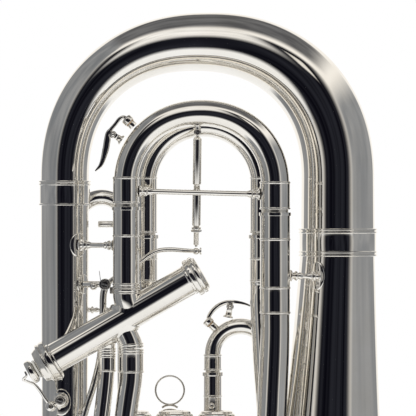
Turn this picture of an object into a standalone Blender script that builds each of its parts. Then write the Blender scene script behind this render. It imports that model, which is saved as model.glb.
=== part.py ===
"""A silver-plated compensating tuba: three upright piston valves, a fourth valve on its side with a lock,
and a main tuning slide worked by a trigger. It stands on its bell, with the bottom bow up.

Design coordinates are millimetres: +X towards the bell, +Y away from the valves' side, +Z up from the rim.
at() turns them into metres, with the origin under the middle of the whole instrument.
"""

import math

import bmesh
import bpy
from mathutils import Matrix, Vector

MM = 0.001
GAP = 0.3  # between pieces that meet
CENTRE_X = 59.46  # middle of the instrument's width, from the fourth valve's button to the bell rim

# The planes that the tubing lies in, front to back
FRONT_Y = -46.5  # main tuning slide, fourth valve's tubes, inner branch
SIDE_VALVE_Y = -44.0
TRIGGER_Y = -26.3
VALVE_Y = -16.0
SLIDE_4_Y = -12.5
BOW_Y = 0.0  # bottom bow, outer branch and bell
SLIDE_1_Y = 14.0
SLIDE_3_Y = 32.0

# Bell: a 15 inch rim, with a throat that meets the bottom bow
BELL_RIM_R = 190.5
BELL_TOP_Z = 649.0
BELL_TOP_X = 119.5
BELL_RIM_X = 98.2
BELL_WALL = 1.1
BELL_RIM_FLAT = 3.4
BELL_RIM_HEIGHT = 4.5

# Bottom bow
BOW_LEFT_X = -131.7
BOW_BASE_Z = 707.8
BOW_CREST_Z = 833.4
BOW_SQUARENESS = 2.22
BOW_R_LEFT = 22.0
BOW_R_CREST = 26.7
BOW_R_RIGHT = 33.4
BOW_LEFT_END_Z = 694.6
SMALL_BOW_LEFT_Z = 420.0
FERRULE_LEFT = (683.4, 705.5)
FERRULE_RIGHT = (637.4, 661.3)
BOW_WALL = 1.2

# Main tuning slide: crook with a bare inner leg on each side, in outer tubes
MTS_LEFT_X = -74.4
MTS_RIGHT_X = 60.9
MTS_BASE_Z = 702.0
MTS_CREST_Z = 767.0
MTS_LEFT = {"r": 11.5, "bare_r": 10.6, "crook_end": 684.6, "tube_top": 681.8, "tube_end": 607.3}
MTS_RIGHT = {"r": 13.1, "bare_r": 12.1, "crook_end": 679.2, "tube_top": 676.6, "tube_end": 584.2}
MTS_INSERTION = 62.0

# Fourth valve's slide, behind the main one
SLIDE_4 = {"left": -56.9, "right": 48.9, "crest": 755.6, "base": 702.7, "r": 9.7, "bare_r": 8.8}
SLIDE_4_JOIN_Z = 656.0
SLIDE_1 = {"left": 4.3, "right": 55.8, "crest": 571.4, "base": 545.6, "r": 7.4, "bare_r": 6.7}
SLIDE_1_JOIN_Z = 529.0
SLIDE_2 = {"left": -44.7, "right": -25.7, "crest": 489.0, "base": 479.5, "r": 6.8, "bare_r": 6.1}
SLIDE_2_JOIN_Z = 474.0
SLIDE_3 = {"left": -121.0, "right": -76.0, "crest": 690.4, "base": 667.9, "r": 7.4, "bare_r": 6.7}
SLIDE_3_JOIN_Z = 600.0
SLIDE_INSERTION = 46.0

# Valves: heights are along the valve's own axis, from the middle of its casing towards its bottom cap
CASING_R = 14.0
CASING_BORE_R = 12.4
CASING_HALF = 72.5
PISTON_R = 11.8
PISTON = (-45.0, 35.0)  # with the valve pressed
BUTTON = (-98.0, -91.0)
BUTTON_R = 11.0
STEM_R = 3.0
CAP_R = (17.0, 17.5)  # bottom and top
SIDE_CAP_R = (17.9, 19.5)  # the fourth valve's
BOTTOM_CAP_HEIGHT = 12.0
TOP_CAP_HEIGHT = 15.0
VALVE_TRAVEL = 19.0
VALVE_XS = (8.0, -30.6, -68.8)  # first valve nearest the bell
VALVE_Z = 410.0
SIDE_VALVE_X = -78.5
SIDE_VALVE_Z = 579.4
SIDE_VALVE_TILT = math.radians(30.3)

SADDLE_CHEEK = 4.8  # from a water key's middle to each arm of its saddle

# Trigger linkage
TRIGGER_PIVOT = (-94.1, 610.7)
TRIGGER_BALL = (-10.9, 641.1)
TRIGGER_ROD_PIVOT = (-9.5, -42.5, 749.5)

# Base colour, roughness and metallic of each material slot
FINISHES = {
    "silver_plate": ((0.86, 0.85, 0.82, 1.0), 0.12, 1.0),
    "nickel_silver": ((0.70, 0.69, 0.66, 1.0), 0.3, 1.0),
    "spring_steel": ((0.55, 0.55, 0.56, 1.0), 0.35, 1.0),
}


def clear_scene():
    for old in list(bpy.data.objects):
        bpy.data.objects.remove(old)
    collection = bpy.data.collections.new("tuba")
    bpy.context.scene.collection.children.link(collection)
    return collection


TUBA = clear_scene()


def at(x, y, z):
    """A design point, in metres."""
    return Vector(((x - CENTRE_X) * MM, y * MM, z * MM))


def side_valve_point(height, y=SIDE_VALVE_Y):
    """The point on the fourth valve's axis at this height."""
    return (
        SIDE_VALVE_X + height * math.cos(SIDE_VALVE_TILT),
        y,
        SIDE_VALVE_Z + height * math.sin(SIDE_VALVE_TILT),
    )


def material(slot):
    made = bpy.data.materials.get(slot)
    if made:
        return made
    colour, roughness, metallic = FINISHES[slot]
    made = bpy.data.materials.new(slot)
    made.use_nodes = True
    shader = made.node_tree.nodes["Principled BSDF"]
    shader.inputs["Base Color"].default_value = colour
    shader.inputs["Roughness"].default_value = roughness
    shader.inputs["Metallic"].default_value = metallic
    return made


def baked(source):
    """A mesh object in place of the source, with its modifiers applied, welded and facing out."""
    graph = bpy.context.evaluated_depsgraph_get()
    mesh = bpy.data.meshes.new_from_object(source.evaluated_get(graph))
    made = bmesh.new()
    made.from_mesh(mesh)
    made.transform(source.matrix_world)
    bmesh.ops.remove_doubles(made, verts=made.verts, dist=1e-6)
    bmesh.ops.recalc_face_normals(made, faces=made.faces)
    made.to_mesh(mesh)
    made.free()
    bpy.data.objects.remove(source)
    solid = bpy.data.objects.new("solid", mesh)
    TUBA.objects.link(solid)
    return solid


def strand(knots, sides=12, wall=None):
    """A round tube or rod along (x, y, z, radius) points: hollow where it has a wall, else solid."""
    curve = bpy.data.curves.new("strand", "CURVE")
    curve.dimensions = "3D"
    curve.bevel_depth = MM
    curve.bevel_resolution = (sides - 4) // 2
    curve.use_fill_caps = wall is None
    spline = curve.splines.new("POLY")
    spline.points.add(len(knots) - 1)
    for point, (x, y, z, radius) in zip(spline.points, knots):
        point.co = (*at(x, y, z), 1)
        point.radius = radius
    source = bpy.data.objects.new("strand", curve)
    TUBA.objects.link(source)
    solid = baked(source)
    if wall is None:
        return solid
    shell = solid.modifiers.new("wall", "SOLIDIFY")
    shell.thickness = wall * MM
    shell.offset = -1
    return baked(solid)


def turned(profile, base, axis=(0, 0, 1), sides=16, ring=False):
    """A solid turned about an axis from (radius, height) points. A ring's profile closes on itself."""
    mesh = bpy.data.meshes.new("profile")
    count = len(profile)
    edges = [(i, i + 1) for i in range(count - 1)] + ([(count - 1, 0)] if ring else [])
    mesh.from_pydata([(r * MM, 0, h * MM) for r, h in profile], edges, [])
    source = bpy.data.objects.new("profile", mesh)
    TUBA.objects.link(source)
    screw = source.modifiers.new("turn", "SCREW")
    screw.steps = sides
    screw.render_steps = sides
    screw.use_merge_vertices = True
    screw.merge_threshold = 1e-6
    turn = Vector(axis).to_track_quat("Z", "Y").to_matrix().to_4x4()
    source.matrix_world = Matrix.Translation(at(*base)) @ turn
    bpy.context.view_layer.update()
    return baked(source)


def cylinder(base, axis, radius, height, sides=12):
    return turned([(0, height), (radius, height), (radius, 0), (0, 0)], base, axis, sides)


def combined(first, others, operation="UNION"):
    """The first solid with the others joined to it, or cut out of it."""
    for other in others:
        step = first.modifiers.new("step", "BOOLEAN")
        step.operation = operation
        step.solver = "EXACT"
        step.object = other
        first = baked(first)
        bpy.data.objects.remove(other)
    return first


def node(name, solid, slot="silver_plate", origin=(0.0, 0.0, 0.0)):
    """Names a finished solid, and puts its origin at a design point such as its joint's."""
    place = at(*origin)
    solid.name = name
    solid.data.name = name
    solid.data.transform(Matrix.Translation(-place))
    solid.location = place
    solid.data.materials.clear()
    solid.data.materials.append(material(slot))
    solid.data.shade_smooth()
    solid.data.set_sharp_from_angle(angle=math.radians(40))
    return solid


def smooth(knots, steps=4):
    """Points on one smooth curve through the (x, y, z, radius) knots."""
    points = [Vector(knot) for knot in knots]
    points = [2 * points[0] - points[1], *points, 2 * points[-1] - points[-2]]
    found = []
    for p0, p1, p2, p3 in zip(points, points[1:], points[2:], points[3:]):
        for i in range(steps):
            t = i / steps
            found.append(
                0.5 * (2 * p1 + (p2 - p0) * t + (2 * p0 - 5 * p1 + 4 * p2 - p3) * t**2
                       + (3 * p1 - p0 - 3 * p2 + p3) * t**3)
            )
    return [tuple(point) for point in (*found, points[-2])]


def bend(left, right, y, base, crest, radii, squareness=2.0, count=12):
    """An arch's centreline from its left leg over the crest, with radii for its left, crest and right."""
    middle = (left + right) / 2
    half = (right - left) / 2
    found = []
    for i in range(count + 1):
        across = math.cos(math.pi * (1 - i / count))
        up = math.sin(math.pi * i / count)
        share = abs(across)
        end = radii[0] if across < 0 else radii[2]
        found.append((
            middle + half * math.copysign(share ** (2 / squareness), across),
            y,
            base + (crest - base) * max(up, 0.0) ** (2 / squareness),
            radii[1] + (end - radii[1]) * share,
        ))
    return found


def sleeve(x, y, bottom, top, inner, outer, lips=(), sides=14, lip=0.8):
    """An upright tube, with a raised lip at each height in lips."""
    profile = [(inner, top), (outer, top)] if top not in lips else [(inner, top)]
    for height in sorted(lips, reverse=True):
        high, low = min(height, top), max(height - 1.6, bottom)
        if high < top:
            profile.append((outer, high))
        profile += [(outer + lip, high - 0.2 * (high < top)), (outer + lip, low + 0.2 * (low > bottom))]
        if low > bottom:
            profile.append((outer, low))
    if profile[-1][1] > bottom:
        profile.append((outer, bottom))
    profile.append((inner, bottom))
    return turned([(r, h) for r, h in profile], (x, y, 0), sides=sides, ring=True)


def clear_of(radius, sides):
    """The inner radius of a faceted ring that clears a round piece of this radius."""
    return (radius + GAP) / math.cos(math.pi / sides)


# --------------------------------------------------------------------------------------------------
# Bell, bows and branches


def bell_radius(z):
    """The bell's outer radius above its rim: a long conical throat and a quick flare."""
    return 150.4 * (430.0 / (430.0 + z)) ** 1.628 + 36.0 * math.exp(-z / 30.0)


def bell_inside(z):
    """The point of the bell's inner surface across its wall from the outer surface at this height."""
    step = 0.1
    slope = (bell_radius(z + step) - bell_radius(z - step)) / (2 * step)
    across = BELL_WALL / math.hypot(1.0, slope)
    return bell_radius(z) - across, z + slope * across


def make_bell():
    stations = 10
    low = BELL_RIM_HEIGHT
    heights = [low + (BELL_TOP_Z - low) * (i / stations) ** 1.7 for i in range(stations, -1, -1)]
    outer = [(bell_radius(z), z) for z in heights]
    rim = [
        (BELL_RIM_R, BELL_RIM_HEIGHT * 0.8),
        (BELL_RIM_R, 0.6),
        (BELL_RIM_R - 0.4, 0.0),
        (BELL_RIM_R - BELL_RIM_FLAT, 0.0),
    ]
    inner = [bell_inside(z) for z in reversed(heights)]
    inner[-1] = (inner[-1][0], BELL_TOP_Z)
    bell = turned(outer + rim + inner, (BELL_RIM_X, BOW_Y, 0), sides=28, ring=True)
    lean = (BELL_TOP_X - BELL_RIM_X) / (BELL_TOP_Z + 1)
    shear = Matrix.Shear("XY", 4, (lean, 0))
    bell.data.transform(shear)
    node("bell", bell)


def make_bows():
    right_end = BELL_TOP_Z + GAP
    arch = bend(BOW_LEFT_X, BELL_TOP_X, BOW_Y, BOW_BASE_Z, BOW_CREST_Z,
                (BOW_R_LEFT, BOW_R_CREST, BOW_R_RIGHT), BOW_SQUARENESS, count=12)
    legs = [(BOW_LEFT_X, BOW_Y, BOW_LEFT_END_Z, BOW_R_LEFT), *arch,
            (BELL_TOP_X, BOW_Y, right_end, BOW_R_RIGHT + 0.4)]
    node("bottom_bow", strand(legs, 16, BOW_WALL))
    left = clear_of(BOW_R_LEFT, 16)
    ring = sleeve(BOW_LEFT_X, BOW_Y, *FERRULE_LEFT, left, left + 1.2, FERRULE_LEFT[1:], 16)
    node("bow_ferrule_left", ring)
    right = clear_of(BOW_R_RIGHT + 1.4, 16)
    ring = sleeve(BELL_TOP_X, BOW_Y, *FERRULE_RIGHT, right, right + 1.2, FERRULE_RIGHT[1:], 16)
    node("bow_ferrule_right", ring)
    top = BOW_LEFT_END_Z - GAP
    branch_end = SMALL_BOW_LEFT_Z + GAP
    node("outer_branch", strand([(BOW_LEFT_X, BOW_Y, top, BOW_R_LEFT), (BOW_LEFT_X, BOW_Y, 560, 21.6),
                                 (BOW_LEFT_X, BOW_Y, branch_end, 20.8)], 16, BOW_WALL))
    # the inner branch leans as it goes down, and the small bow carries on along the same line
    joint = Vector((53.0, -45.5, 440.0))
    down = Vector((-0.12, 0.04, -1.0)).normalized()
    branch = [(MTS_RIGHT_X, FRONT_Y, MTS_RIGHT["tube_end"] - GAP, 13.2), (MTS_RIGHT_X, FRONT_Y, 576, 13.2),
              (60.0, FRONT_Y, 540, 13.4), (57.9, FRONT_Y, 489, 13.6), (*(joint - down * 16), 13.8),
              (*(joint - down * GAP / 2), 13.8)]
    node("inner_branch", strand(branch, 12, BOW_WALL))
    route = smooth([(*(joint + down * 6), 13.8), (50, -42, 421, 14.0), (45, -29, 396, 14.3),
                    (38.5, -6, 372, 14.8), (26, 12, 350, 15.4), (5, 24, 325, 16.2), (-30, 28, 306, 17.2),
                    (-72, 26, 307, 18.3), (-106, 17, 333, 19.4), (-126, 5, 374, 20.2),
                    (BOW_LEFT_X, BOW_Y, 408, 20.7)], 1)
    node("small_bow", strand([(*(joint + down * GAP / 2), 13.8), *route,
                              (BOW_LEFT_X, BOW_Y, SMALL_BOW_LEFT_Z, 20.8)], 14, BOW_WALL))


# --------------------------------------------------------------------------------------------------
# Main tuning slide and the trigger


def make_main_slide():
    left, right = MTS_LEFT, MTS_RIGHT
    step = 0.6
    arch = bend(MTS_LEFT_X, MTS_RIGHT_X, FRONT_Y, MTS_BASE_Z, MTS_CREST_Z,
                (left["r"], 12.0, right["r"]), 2.1, 10)
    crook = [
        (MTS_LEFT_X, FRONT_Y, left["tube_top"] - MTS_INSERTION, left["bare_r"]),
        (MTS_LEFT_X, FRONT_Y, left["crook_end"], left["bare_r"]),
        (MTS_LEFT_X, FRONT_Y, left["crook_end"] + step, left["r"]),
        *arch,
        (MTS_RIGHT_X, FRONT_Y, right["crook_end"] + step, right["r"]),
        (MTS_RIGHT_X, FRONT_Y, right["crook_end"], right["bare_r"]),
        (MTS_RIGHT_X, FRONT_Y, right["tube_top"] - MTS_INSERTION, right["bare_r"]),
    ]
    node("main_slide_crook", strand(crook, 12, 0.9))
    for name, x, leg in (("left", MTS_LEFT_X, left), ("right", MTS_RIGHT_X, right)):
        inner = clear_of(leg["bare_r"], 12)
        top = leg["tube_top"]
        tube = sleeve(x, FRONT_Y, leg["tube_end"], top, inner, leg["r"] + 1.0, (top,), 12)
        node(f"main_slide_tube_{name}", tube)
    start = (MTS_LEFT_X + left["r"] + GAP, FRONT_Y, 695.9)
    end = (MTS_RIGHT_X - right["r"] - GAP, FRONT_Y, 693.1)
    node("main_slide_brace", stay(start, end, 2.5))


def stay(start, end, radius):
    """A turned brace rod between two points, with a collar at each end."""
    run = Vector(end) - Vector(start)
    length = run.length
    collar = radius + 1.8
    profile = [(0, length), (collar, length), (collar, length - 2), (radius + 0.3, length - 3.5),
               (collar - 0.4, length - 6), (radius, length - 8), (radius, 8), (collar - 0.4, 6),
               (radius + 0.3, 3.5), (collar, 2), (collar, 0), (0, 0)]
    return turned(profile, start, run, 8)


def make_braces():
    node("brace_outer_branch", stay((-116.8, -19.7, 646.6), (-85.2, -38.2, 646.6), 2.4))
    node("brace_bell", stay((98.6, -32.4, 619.0), (74.7, -41.4, 619.0), 2.2))


def make_trigger():
    pivot_x, pivot_z = TRIGGER_PIVOT
    ball_x, ball_z = TRIGGER_BALL
    pivot = (pivot_x, TRIGGER_Y, pivot_z)
    barrel = turned([(5.0, 3.2), (5.0, -3.2), (2.6, -3.2), (2.6, 3.2)], pivot, (0, -1, 0), 12, ring=True)
    arm = strand([(pivot_x + 3.8, TRIGGER_Y, pivot_z + 1.4, 1.9), (-78, TRIGGER_Y, 621.5, 1.9),
                  (-62.8, TRIGGER_Y, 631, 1.9), (-47, TRIGGER_Y, 641.5, 1.9), (-38, TRIGGER_Y, 642.9, 1.9),
                  (ball_x, TRIGGER_Y, ball_z, 1.7)], 6)
    touch = strand([(pivot_x - 0.4, TRIGGER_Y, pivot_z - 4.0, 3.0), (-95.9, TRIGGER_Y, 596, 3.2),
                    (-96.3, TRIGGER_Y, 570, 3.2), (-98.5, TRIGGER_Y, 544, 3.2), (-104, TRIGGER_Y, 520, 3.2),
                    (-112, TRIGGER_Y, 496, 3.2), (-116, TRIGGER_Y, 480, 3.0)], 8)
    ball_profile = [(0, 3.3), (2.4, 2.3), (3.3, 0), (2.4, -2.3), (0, -3.3)]
    ball = turned(ball_profile, (ball_x, TRIGGER_Y, ball_z), sides=10)
    pad_profile = [(0, 1.6), (5.2, 1.6), (6.0, 0), (5.2, -1.6), (0, -1.6)]
    pad = turned(pad_profile, (-116.5, TRIGGER_Y, 475), (1, 0, 0.12), 12)
    lever = combined(barrel, [arm, touch, ball, pad])
    node("trigger_lever", lever, origin=pivot)

    # a post on the outer branch, ending in the pin that the lever turns on
    root_x, root_y = BOW_LEFT_X + 18.2, -13.6
    bar = strand([(root_x, root_y, pivot_z, 3.0), (pivot_x - 1.0, TRIGGER_Y + 7.0, pivot_z, 3.0),
                  (pivot_x + 2.0, TRIGGER_Y + 7.2, pivot_z, 3.0)], 8)
    pin = cylinder((pivot_x, TRIGGER_Y + 6.5, pivot_z), (0, -1, 0), 2.1, 12.0, 10)
    node("trigger_bracket", combined(bar, [pin]))

    # the rod hangs from an eye on the crook and ends over the lever's ball
    top_x, top_y, top_z = TRIGGER_ROD_PIVOT
    foot = (ball_x, TRIGGER_Y, ball_z + 4.3)
    run = Vector(TRIGGER_ROD_PIVOT) - Vector(foot)
    length = run.length
    profile = [(0, length - 5.0), (3.9, length - 5.0), (3.9, 22), (4.6, 21.5), (4.6, 19.5), (3.2, 19),
               (3.2, 15), (2.5, 14), (2.5, 4), (1.4, 0), (0, 0)]
    rod = turned(profile, foot, run, 8)
    eye_profile = [(3.4, 1.5), (3.4, -1.5), (1.9, -1.5), (1.9, 1.5)]
    eye = turned(eye_profile, TRIGGER_ROD_PIVOT, (0, 1, 0), 10, ring=True)
    neck = strand([(*(Vector(foot) + run * (1 - 6.0 / length)), 1.3),
                   (*(Vector(foot) + run * (1 - 2.6 / length)), 1.3)], 6)
    node("trigger_rod", combined(rod, [neck, eye]), origin=TRIGGER_ROD_PIVOT)
    hanger = cylinder((top_x, top_y + 3.0, top_z), (0, -1, 0), 1.5, 6.0, 8)
    lug = strand([(top_x, FRONT_Y, top_z - 2.0, 1.7), (top_x, FRONT_Y, 754.3, 2.4)], 8)
    node("trigger_eye", combined(lug, [hanger]))


# --------------------------------------------------------------------------------------------------
# Tuning slides of the valves


def make_slide(name, size, y, join_z, feet, crook_end=1.5, wall=1.1):
    """A slide's crook with its bare legs. It returns the outer tubes, from join_z down the given feet."""
    arch = bend(size["left"], size["right"], y, size["base"], size["crest"], (size["r"],) * 3, count=6)
    bottom = join_z - SLIDE_INSERTION
    crook = [
        (size["left"], y, bottom, size["bare_r"]),
        (size["left"], y, join_z + crook_end, size["bare_r"]),
        (size["left"], y, join_z + crook_end + 0.6, size["r"]),
        *arch,
        (size["right"], y, join_z + crook_end + 0.6, size["r"]),
        (size["right"], y, join_z + crook_end, size["bare_r"]),
        (size["right"], y, bottom, size["bare_r"]),
    ]
    node(f"slide_{name}_crook", strand(crook, 10, 0.8), origin=(size["left"], y, join_z))
    tubes = []
    inner = clear_of(size["bare_r"], 10)
    for side, foot in zip(("left", "right"), feet):
        x = size[side]
        body = sleeve(x, y, bottom - 2.0, join_z, inner, inner + wall, (join_z,), 10)
        run = [(x, y, bottom - 1.0, inner + wall - 0.05), (x, y, bottom - 4.0, foot[0][3]), *foot]
        tubes.append(combined(body, [strand(run, 10)]))
    return tubes


def bridged(name, tubes, size, y, join_z, reach):
    """A slide's two outer tubes as one node, held together by a strut."""
    bridge = cylinder((size["left"] + reach, y, join_z - 14.0), (1, 0, 0), 2.0,
                      size["right"] - size["left"] - 2 * reach, 6)
    node(name, combined(tubes[0], [bridge, tubes[1]]))


def make_slides():
    """The slides, and those of their outer tubes that are soldered to a valve, by the valve's number."""
    first, second, third = VALVE_XS
    y = SLIDE_1_Y
    to_first = make_slide("1", SLIDE_1, y, SLIDE_1_JOIN_Z, feet=(
        [(4.3, y, 470, 8.0), (5.6, 10.5, 461, 8.0), (first, 6.0, 457, 8.0), (first, -6.0, 457, 8.0)],
        [(55.8, y, 440, 8.0), (51.5, y, 421, 8.0), (42.0, y, 408.5, 8.0), (31.0, 12.2, 404.3, 8.0),
         (24.5, 6.0, 404, 8.0), (13.0, -9.3, 404, 8.0)],
    ))
    tubes = make_slide("2", SLIDE_2, y, SLIDE_2_JOIN_Z, feet=(
        [(-44.7, y, 420, 6.4), (-43.4, 11.5, 411, 6.2), (-39.5, 4.5, 408, 6.0), (-38.4, 2.0, 408, 6.0)],
        [(-25.7, y, 398, 6.4), (-25.6, 11.5, 389, 6.2), (-25.6, 4.5, 386, 6.0), (-25.6, 1.0, 386, 6.0)],
    ))
    bridged("slide_2_tubes", tubes, SLIDE_2, y, SLIDE_2_JOIN_Z, 7.2)
    tubes = make_slide("3", SLIDE_3, SLIDE_3_Y, SLIDE_3_JOIN_Z, feet=(
        [(-121, 32, 450, 8.0), (-118, 30.5, 428, 8.0), (-108, 20.5, 402, 8.0), (-96, 3.0, 387, 8.0),
         (-90.0, -3.3, 385, 8.0), (-86.2, -5.6, 385, 8.0)],
        [(-76, 32, 446, 8.0), (-75, 28, 428, 8.0), (-71.5, 17, 420, 8.0), (third, 5.0, 420, 8.0),
         (third, 1.3, 420, 8.0)],
    ))
    bridged("slide_3_tubes", tubes, SLIDE_3, SLIDE_3_Y, SLIDE_3_JOIN_Z, 7.8)
    y = SLIDE_4_Y
    to_fourth, right = make_slide("4", SLIDE_4, y, SLIDE_4_JOIN_Z, feet=(
        [(-56.9, y, 604.0, 9.6), (-56.9, -14.8, 596.5, 9.6), (-56.9, -21.0, 592.0, 9.6),
         (-56.9, -36.0, 592.0, 9.6)],
        [(48.9, y, 590, 10.0), (51.5, y, 540, 10.0), (55, -13, 492, 10.0), (54, -15, 466, 10.0),
         (47, -16, 446, 10.0), (40, -16, 440, 10.0), (35.4, -16, 440, 10.0)],
    ))
    node("slide_4_tube", right)
    ring = bend_ring()
    feet = strand([(-41.0, SLIDE_1_Y, 497.3, 0.9), (-37.0, SLIDE_1_Y, 498.7, 0.9),
                   (-33.4, SLIDE_1_Y, 498.7, 0.9), (-29.4, SLIDE_1_Y, 497.3, 0.9)], 6)
    node("slide_2_pull_ring", combined(ring, [feet]))
    return {1: to_first, 4: [to_fourth]}


def bend_ring():
    """The second slide's pull ring, upright and facing front."""
    bpy.ops.mesh.primitive_torus_add(
        major_segments=18, minor_segments=6, major_radius=13.2 * MM, minor_radius=0.8 * MM,
        location=at(-35.2, SLIDE_1_Y, 512.4), rotation=(math.pi / 2, 0, 0))
    made = bpy.context.active_object
    for home in list(made.users_collection):
        home.objects.unlink(made)
    TUBA.objects.link(made)
    bpy.context.view_layer.update()
    return baked(made)


# --------------------------------------------------------------------------------------------------
# Water keys


def make_water_key(name, pivot, cork, base, route):
    """A sprung lever on a saddle: the cork cup closes the crook's drain nipple."""
    y = pivot[1]
    barrel = turned([(3.4, 3.0), (3.4, -3.0), (2.1, -3.0), (2.1, 3.0)], pivot, (0, -1, 0), 10, ring=True)
    lever = strand([(x, y, z, r) for x, z, r in route], 6)
    away = Vector(cork[1]) - Vector(cork[0])
    cup = cylinder(cork[0], away, 5.0, away.length, 10)
    node(f"{name}_lever", combined(barrel, [lever, cup]), origin=pivot)
    lift = Vector(pivot) - Vector(base)
    foot = strand([(*base, 2.8), (*(Vector(base) + lift * 0.45), 2.2)], 8)
    cheek = SADDLE_CHEEK
    arms = []
    for side in (-1, 1):
        low = Vector(base) + lift * 0.2
        shoulder = Vector(base) + lift * 0.5 + Vector((0, side * cheek, 0))
        top = Vector(pivot) + lift * 0.25 + Vector((0, side * cheek, 0))
        arms.append(strand([(*low, 1.1), (*shoulder, 1.1), (*top, 1.1)], 6))
    pin = cylinder((pivot[0], y + cheek + 0.9, pivot[2]), (0, -1, 0), 1.6, 2 * cheek + 1.8, 8)
    node(f"{name}_saddle", combined(foot, [*arms, pin]))


def make_water_keys():
    make_water_key(
        "main_water_key", (-86.4, FRONT_Y, 747.4), ((-70.4, FRONT_Y, 757.6), (-75.0, FRONT_Y, 762.2)),
        (-79.0, FRONT_Y, 742.7),
        [(-73.5, 760.8, 1.6), (-77.5, 762.5, 1.8), (-83, 758.0, 1.8), (-87.4, 751.7, 1.7),
         (-90.4, 749.6, 1.7), (-91.0, 744.0, 1.7), (-92.5, 735, 1.6), (-96.0, 722, 1.5),
         (-101.0, 714.7, 1.3)])
    make_water_key(
        "first_water_key", (20.4, SLIDE_1_Y, 589.6), ((2.6, SLIDE_1_Y, 573.4), (-1.4, SLIDE_1_Y, 577.4)),
        (18.6, SLIDE_1_Y, 580.4),
        [(0.2, 575.8, 1.6), (1.5, 580.6, 1.7), (9, 590.5, 1.8), (16, 593.9, 1.7), (25.5, 593.9, 1.7),
         (37.4, 591.0, 1.5), (44, 587.0, 1.3)])


# --------------------------------------------------------------------------------------------------
# Valves


def place(solid, where, axis):
    """Stands a solid made about the design origin on a valve's axis."""
    origin = at(0, 0, 0)
    turn = Vector(axis).to_track_quat("Z", "Y").to_matrix().to_4x4()
    solid.data.transform(Matrix.Translation(at(*where)) @ turn @ Matrix.Translation(-origin))
    return solid


def bottom_cap(radius):
    low = CASING_HALF + GAP
    high = low + BOTTOM_CAP_HEIGHT
    profile = [(3.0, high - 2.0), (11.0, high), (14.5, high), (15.5, high - 3), (radius, high - 4),
               (radius, low), (3.0, low)]
    return turned(profile, (0, 0, 0), sides=14, ring=True)


def top_cap(radius):
    high = -CASING_HALF - GAP
    low = high - TOP_CAP_HEIGHT
    profile = [(STEM_R + 0.9, high), (radius, high), (radius, high - 8), (13.5, low + 2),
               (11.5, low), (STEM_R + 0.9, low)]
    return turned(profile, (0, 0, 0), sides=14, ring=True)


def piston():
    low, high = PISTON
    body = turned([(0, low + 3), (8.5, low + 3), (8.5, high), (PISTON_R, high), (PISTON_R, low), (0, low)],
                  (0, 0, 0), sides=14)
    port = cylinder((-20, 0, low + 40), (1, 0, 0), 6.5, 40, 8)
    return combined(body, [port], "DIFFERENCE")


def button():
    low, high = BUTTON
    profile = [(0, PISTON[0] - GAP), (STEM_R + 1.6, PISTON[0] - GAP), (STEM_R + 1.6, PISTON[0] - 3),
               (STEM_R, PISTON[0] - 3), (STEM_R, high), (BUTTON_R, high), (BUTTON_R, low + 1.5),
               (BUTTON_R - 1.5, low), (0, low)]
    return turned(profile, (0, 0, 0), sides=12)


def spring(length):
    """A coil in the casing between the piston and the bottom cap, which it pushes apart."""
    turns, per_turn, wire, coil_r = 4, 6, 0.7, 9.6
    high = CASING_HALF - wire
    count = turns * per_turn
    knots = []
    for i in range(count + 1):
        angle = 2 * math.pi * i / per_turn
        knots.append((coil_r * math.cos(angle), coil_r * math.sin(angle),
                      high - (length - 2 * wire) * i / count, wire))
    return strand(knots, 4)


def casing(where, axis, stubs, tubes=()):
    """The casing's shell, with the solid stubs of its ports and the tubes soldered to it joined on."""
    start = Vector(where) - Vector(axis) * CASING_HALF
    shell = cylinder(tuple(start), axis, CASING_R, 2 * CASING_HALF, 20)
    shell = combined(shell, [*[strand(stub, 12) for stub in stubs], *tubes])
    bore = cylinder(tuple(start - Vector(axis)), axis, CASING_BORE_R, 2 * CASING_HALF + 2, 20)
    return combined(shell, [bore], "DIFFERENCE")


def port_stubs(x, ports):
    """Straight stubs from a casing's axis to the given end points, at one height each."""
    return [[(x, VALVE_Y, end[2], radius), (*end, radius)] for end, radius in ports]


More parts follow.
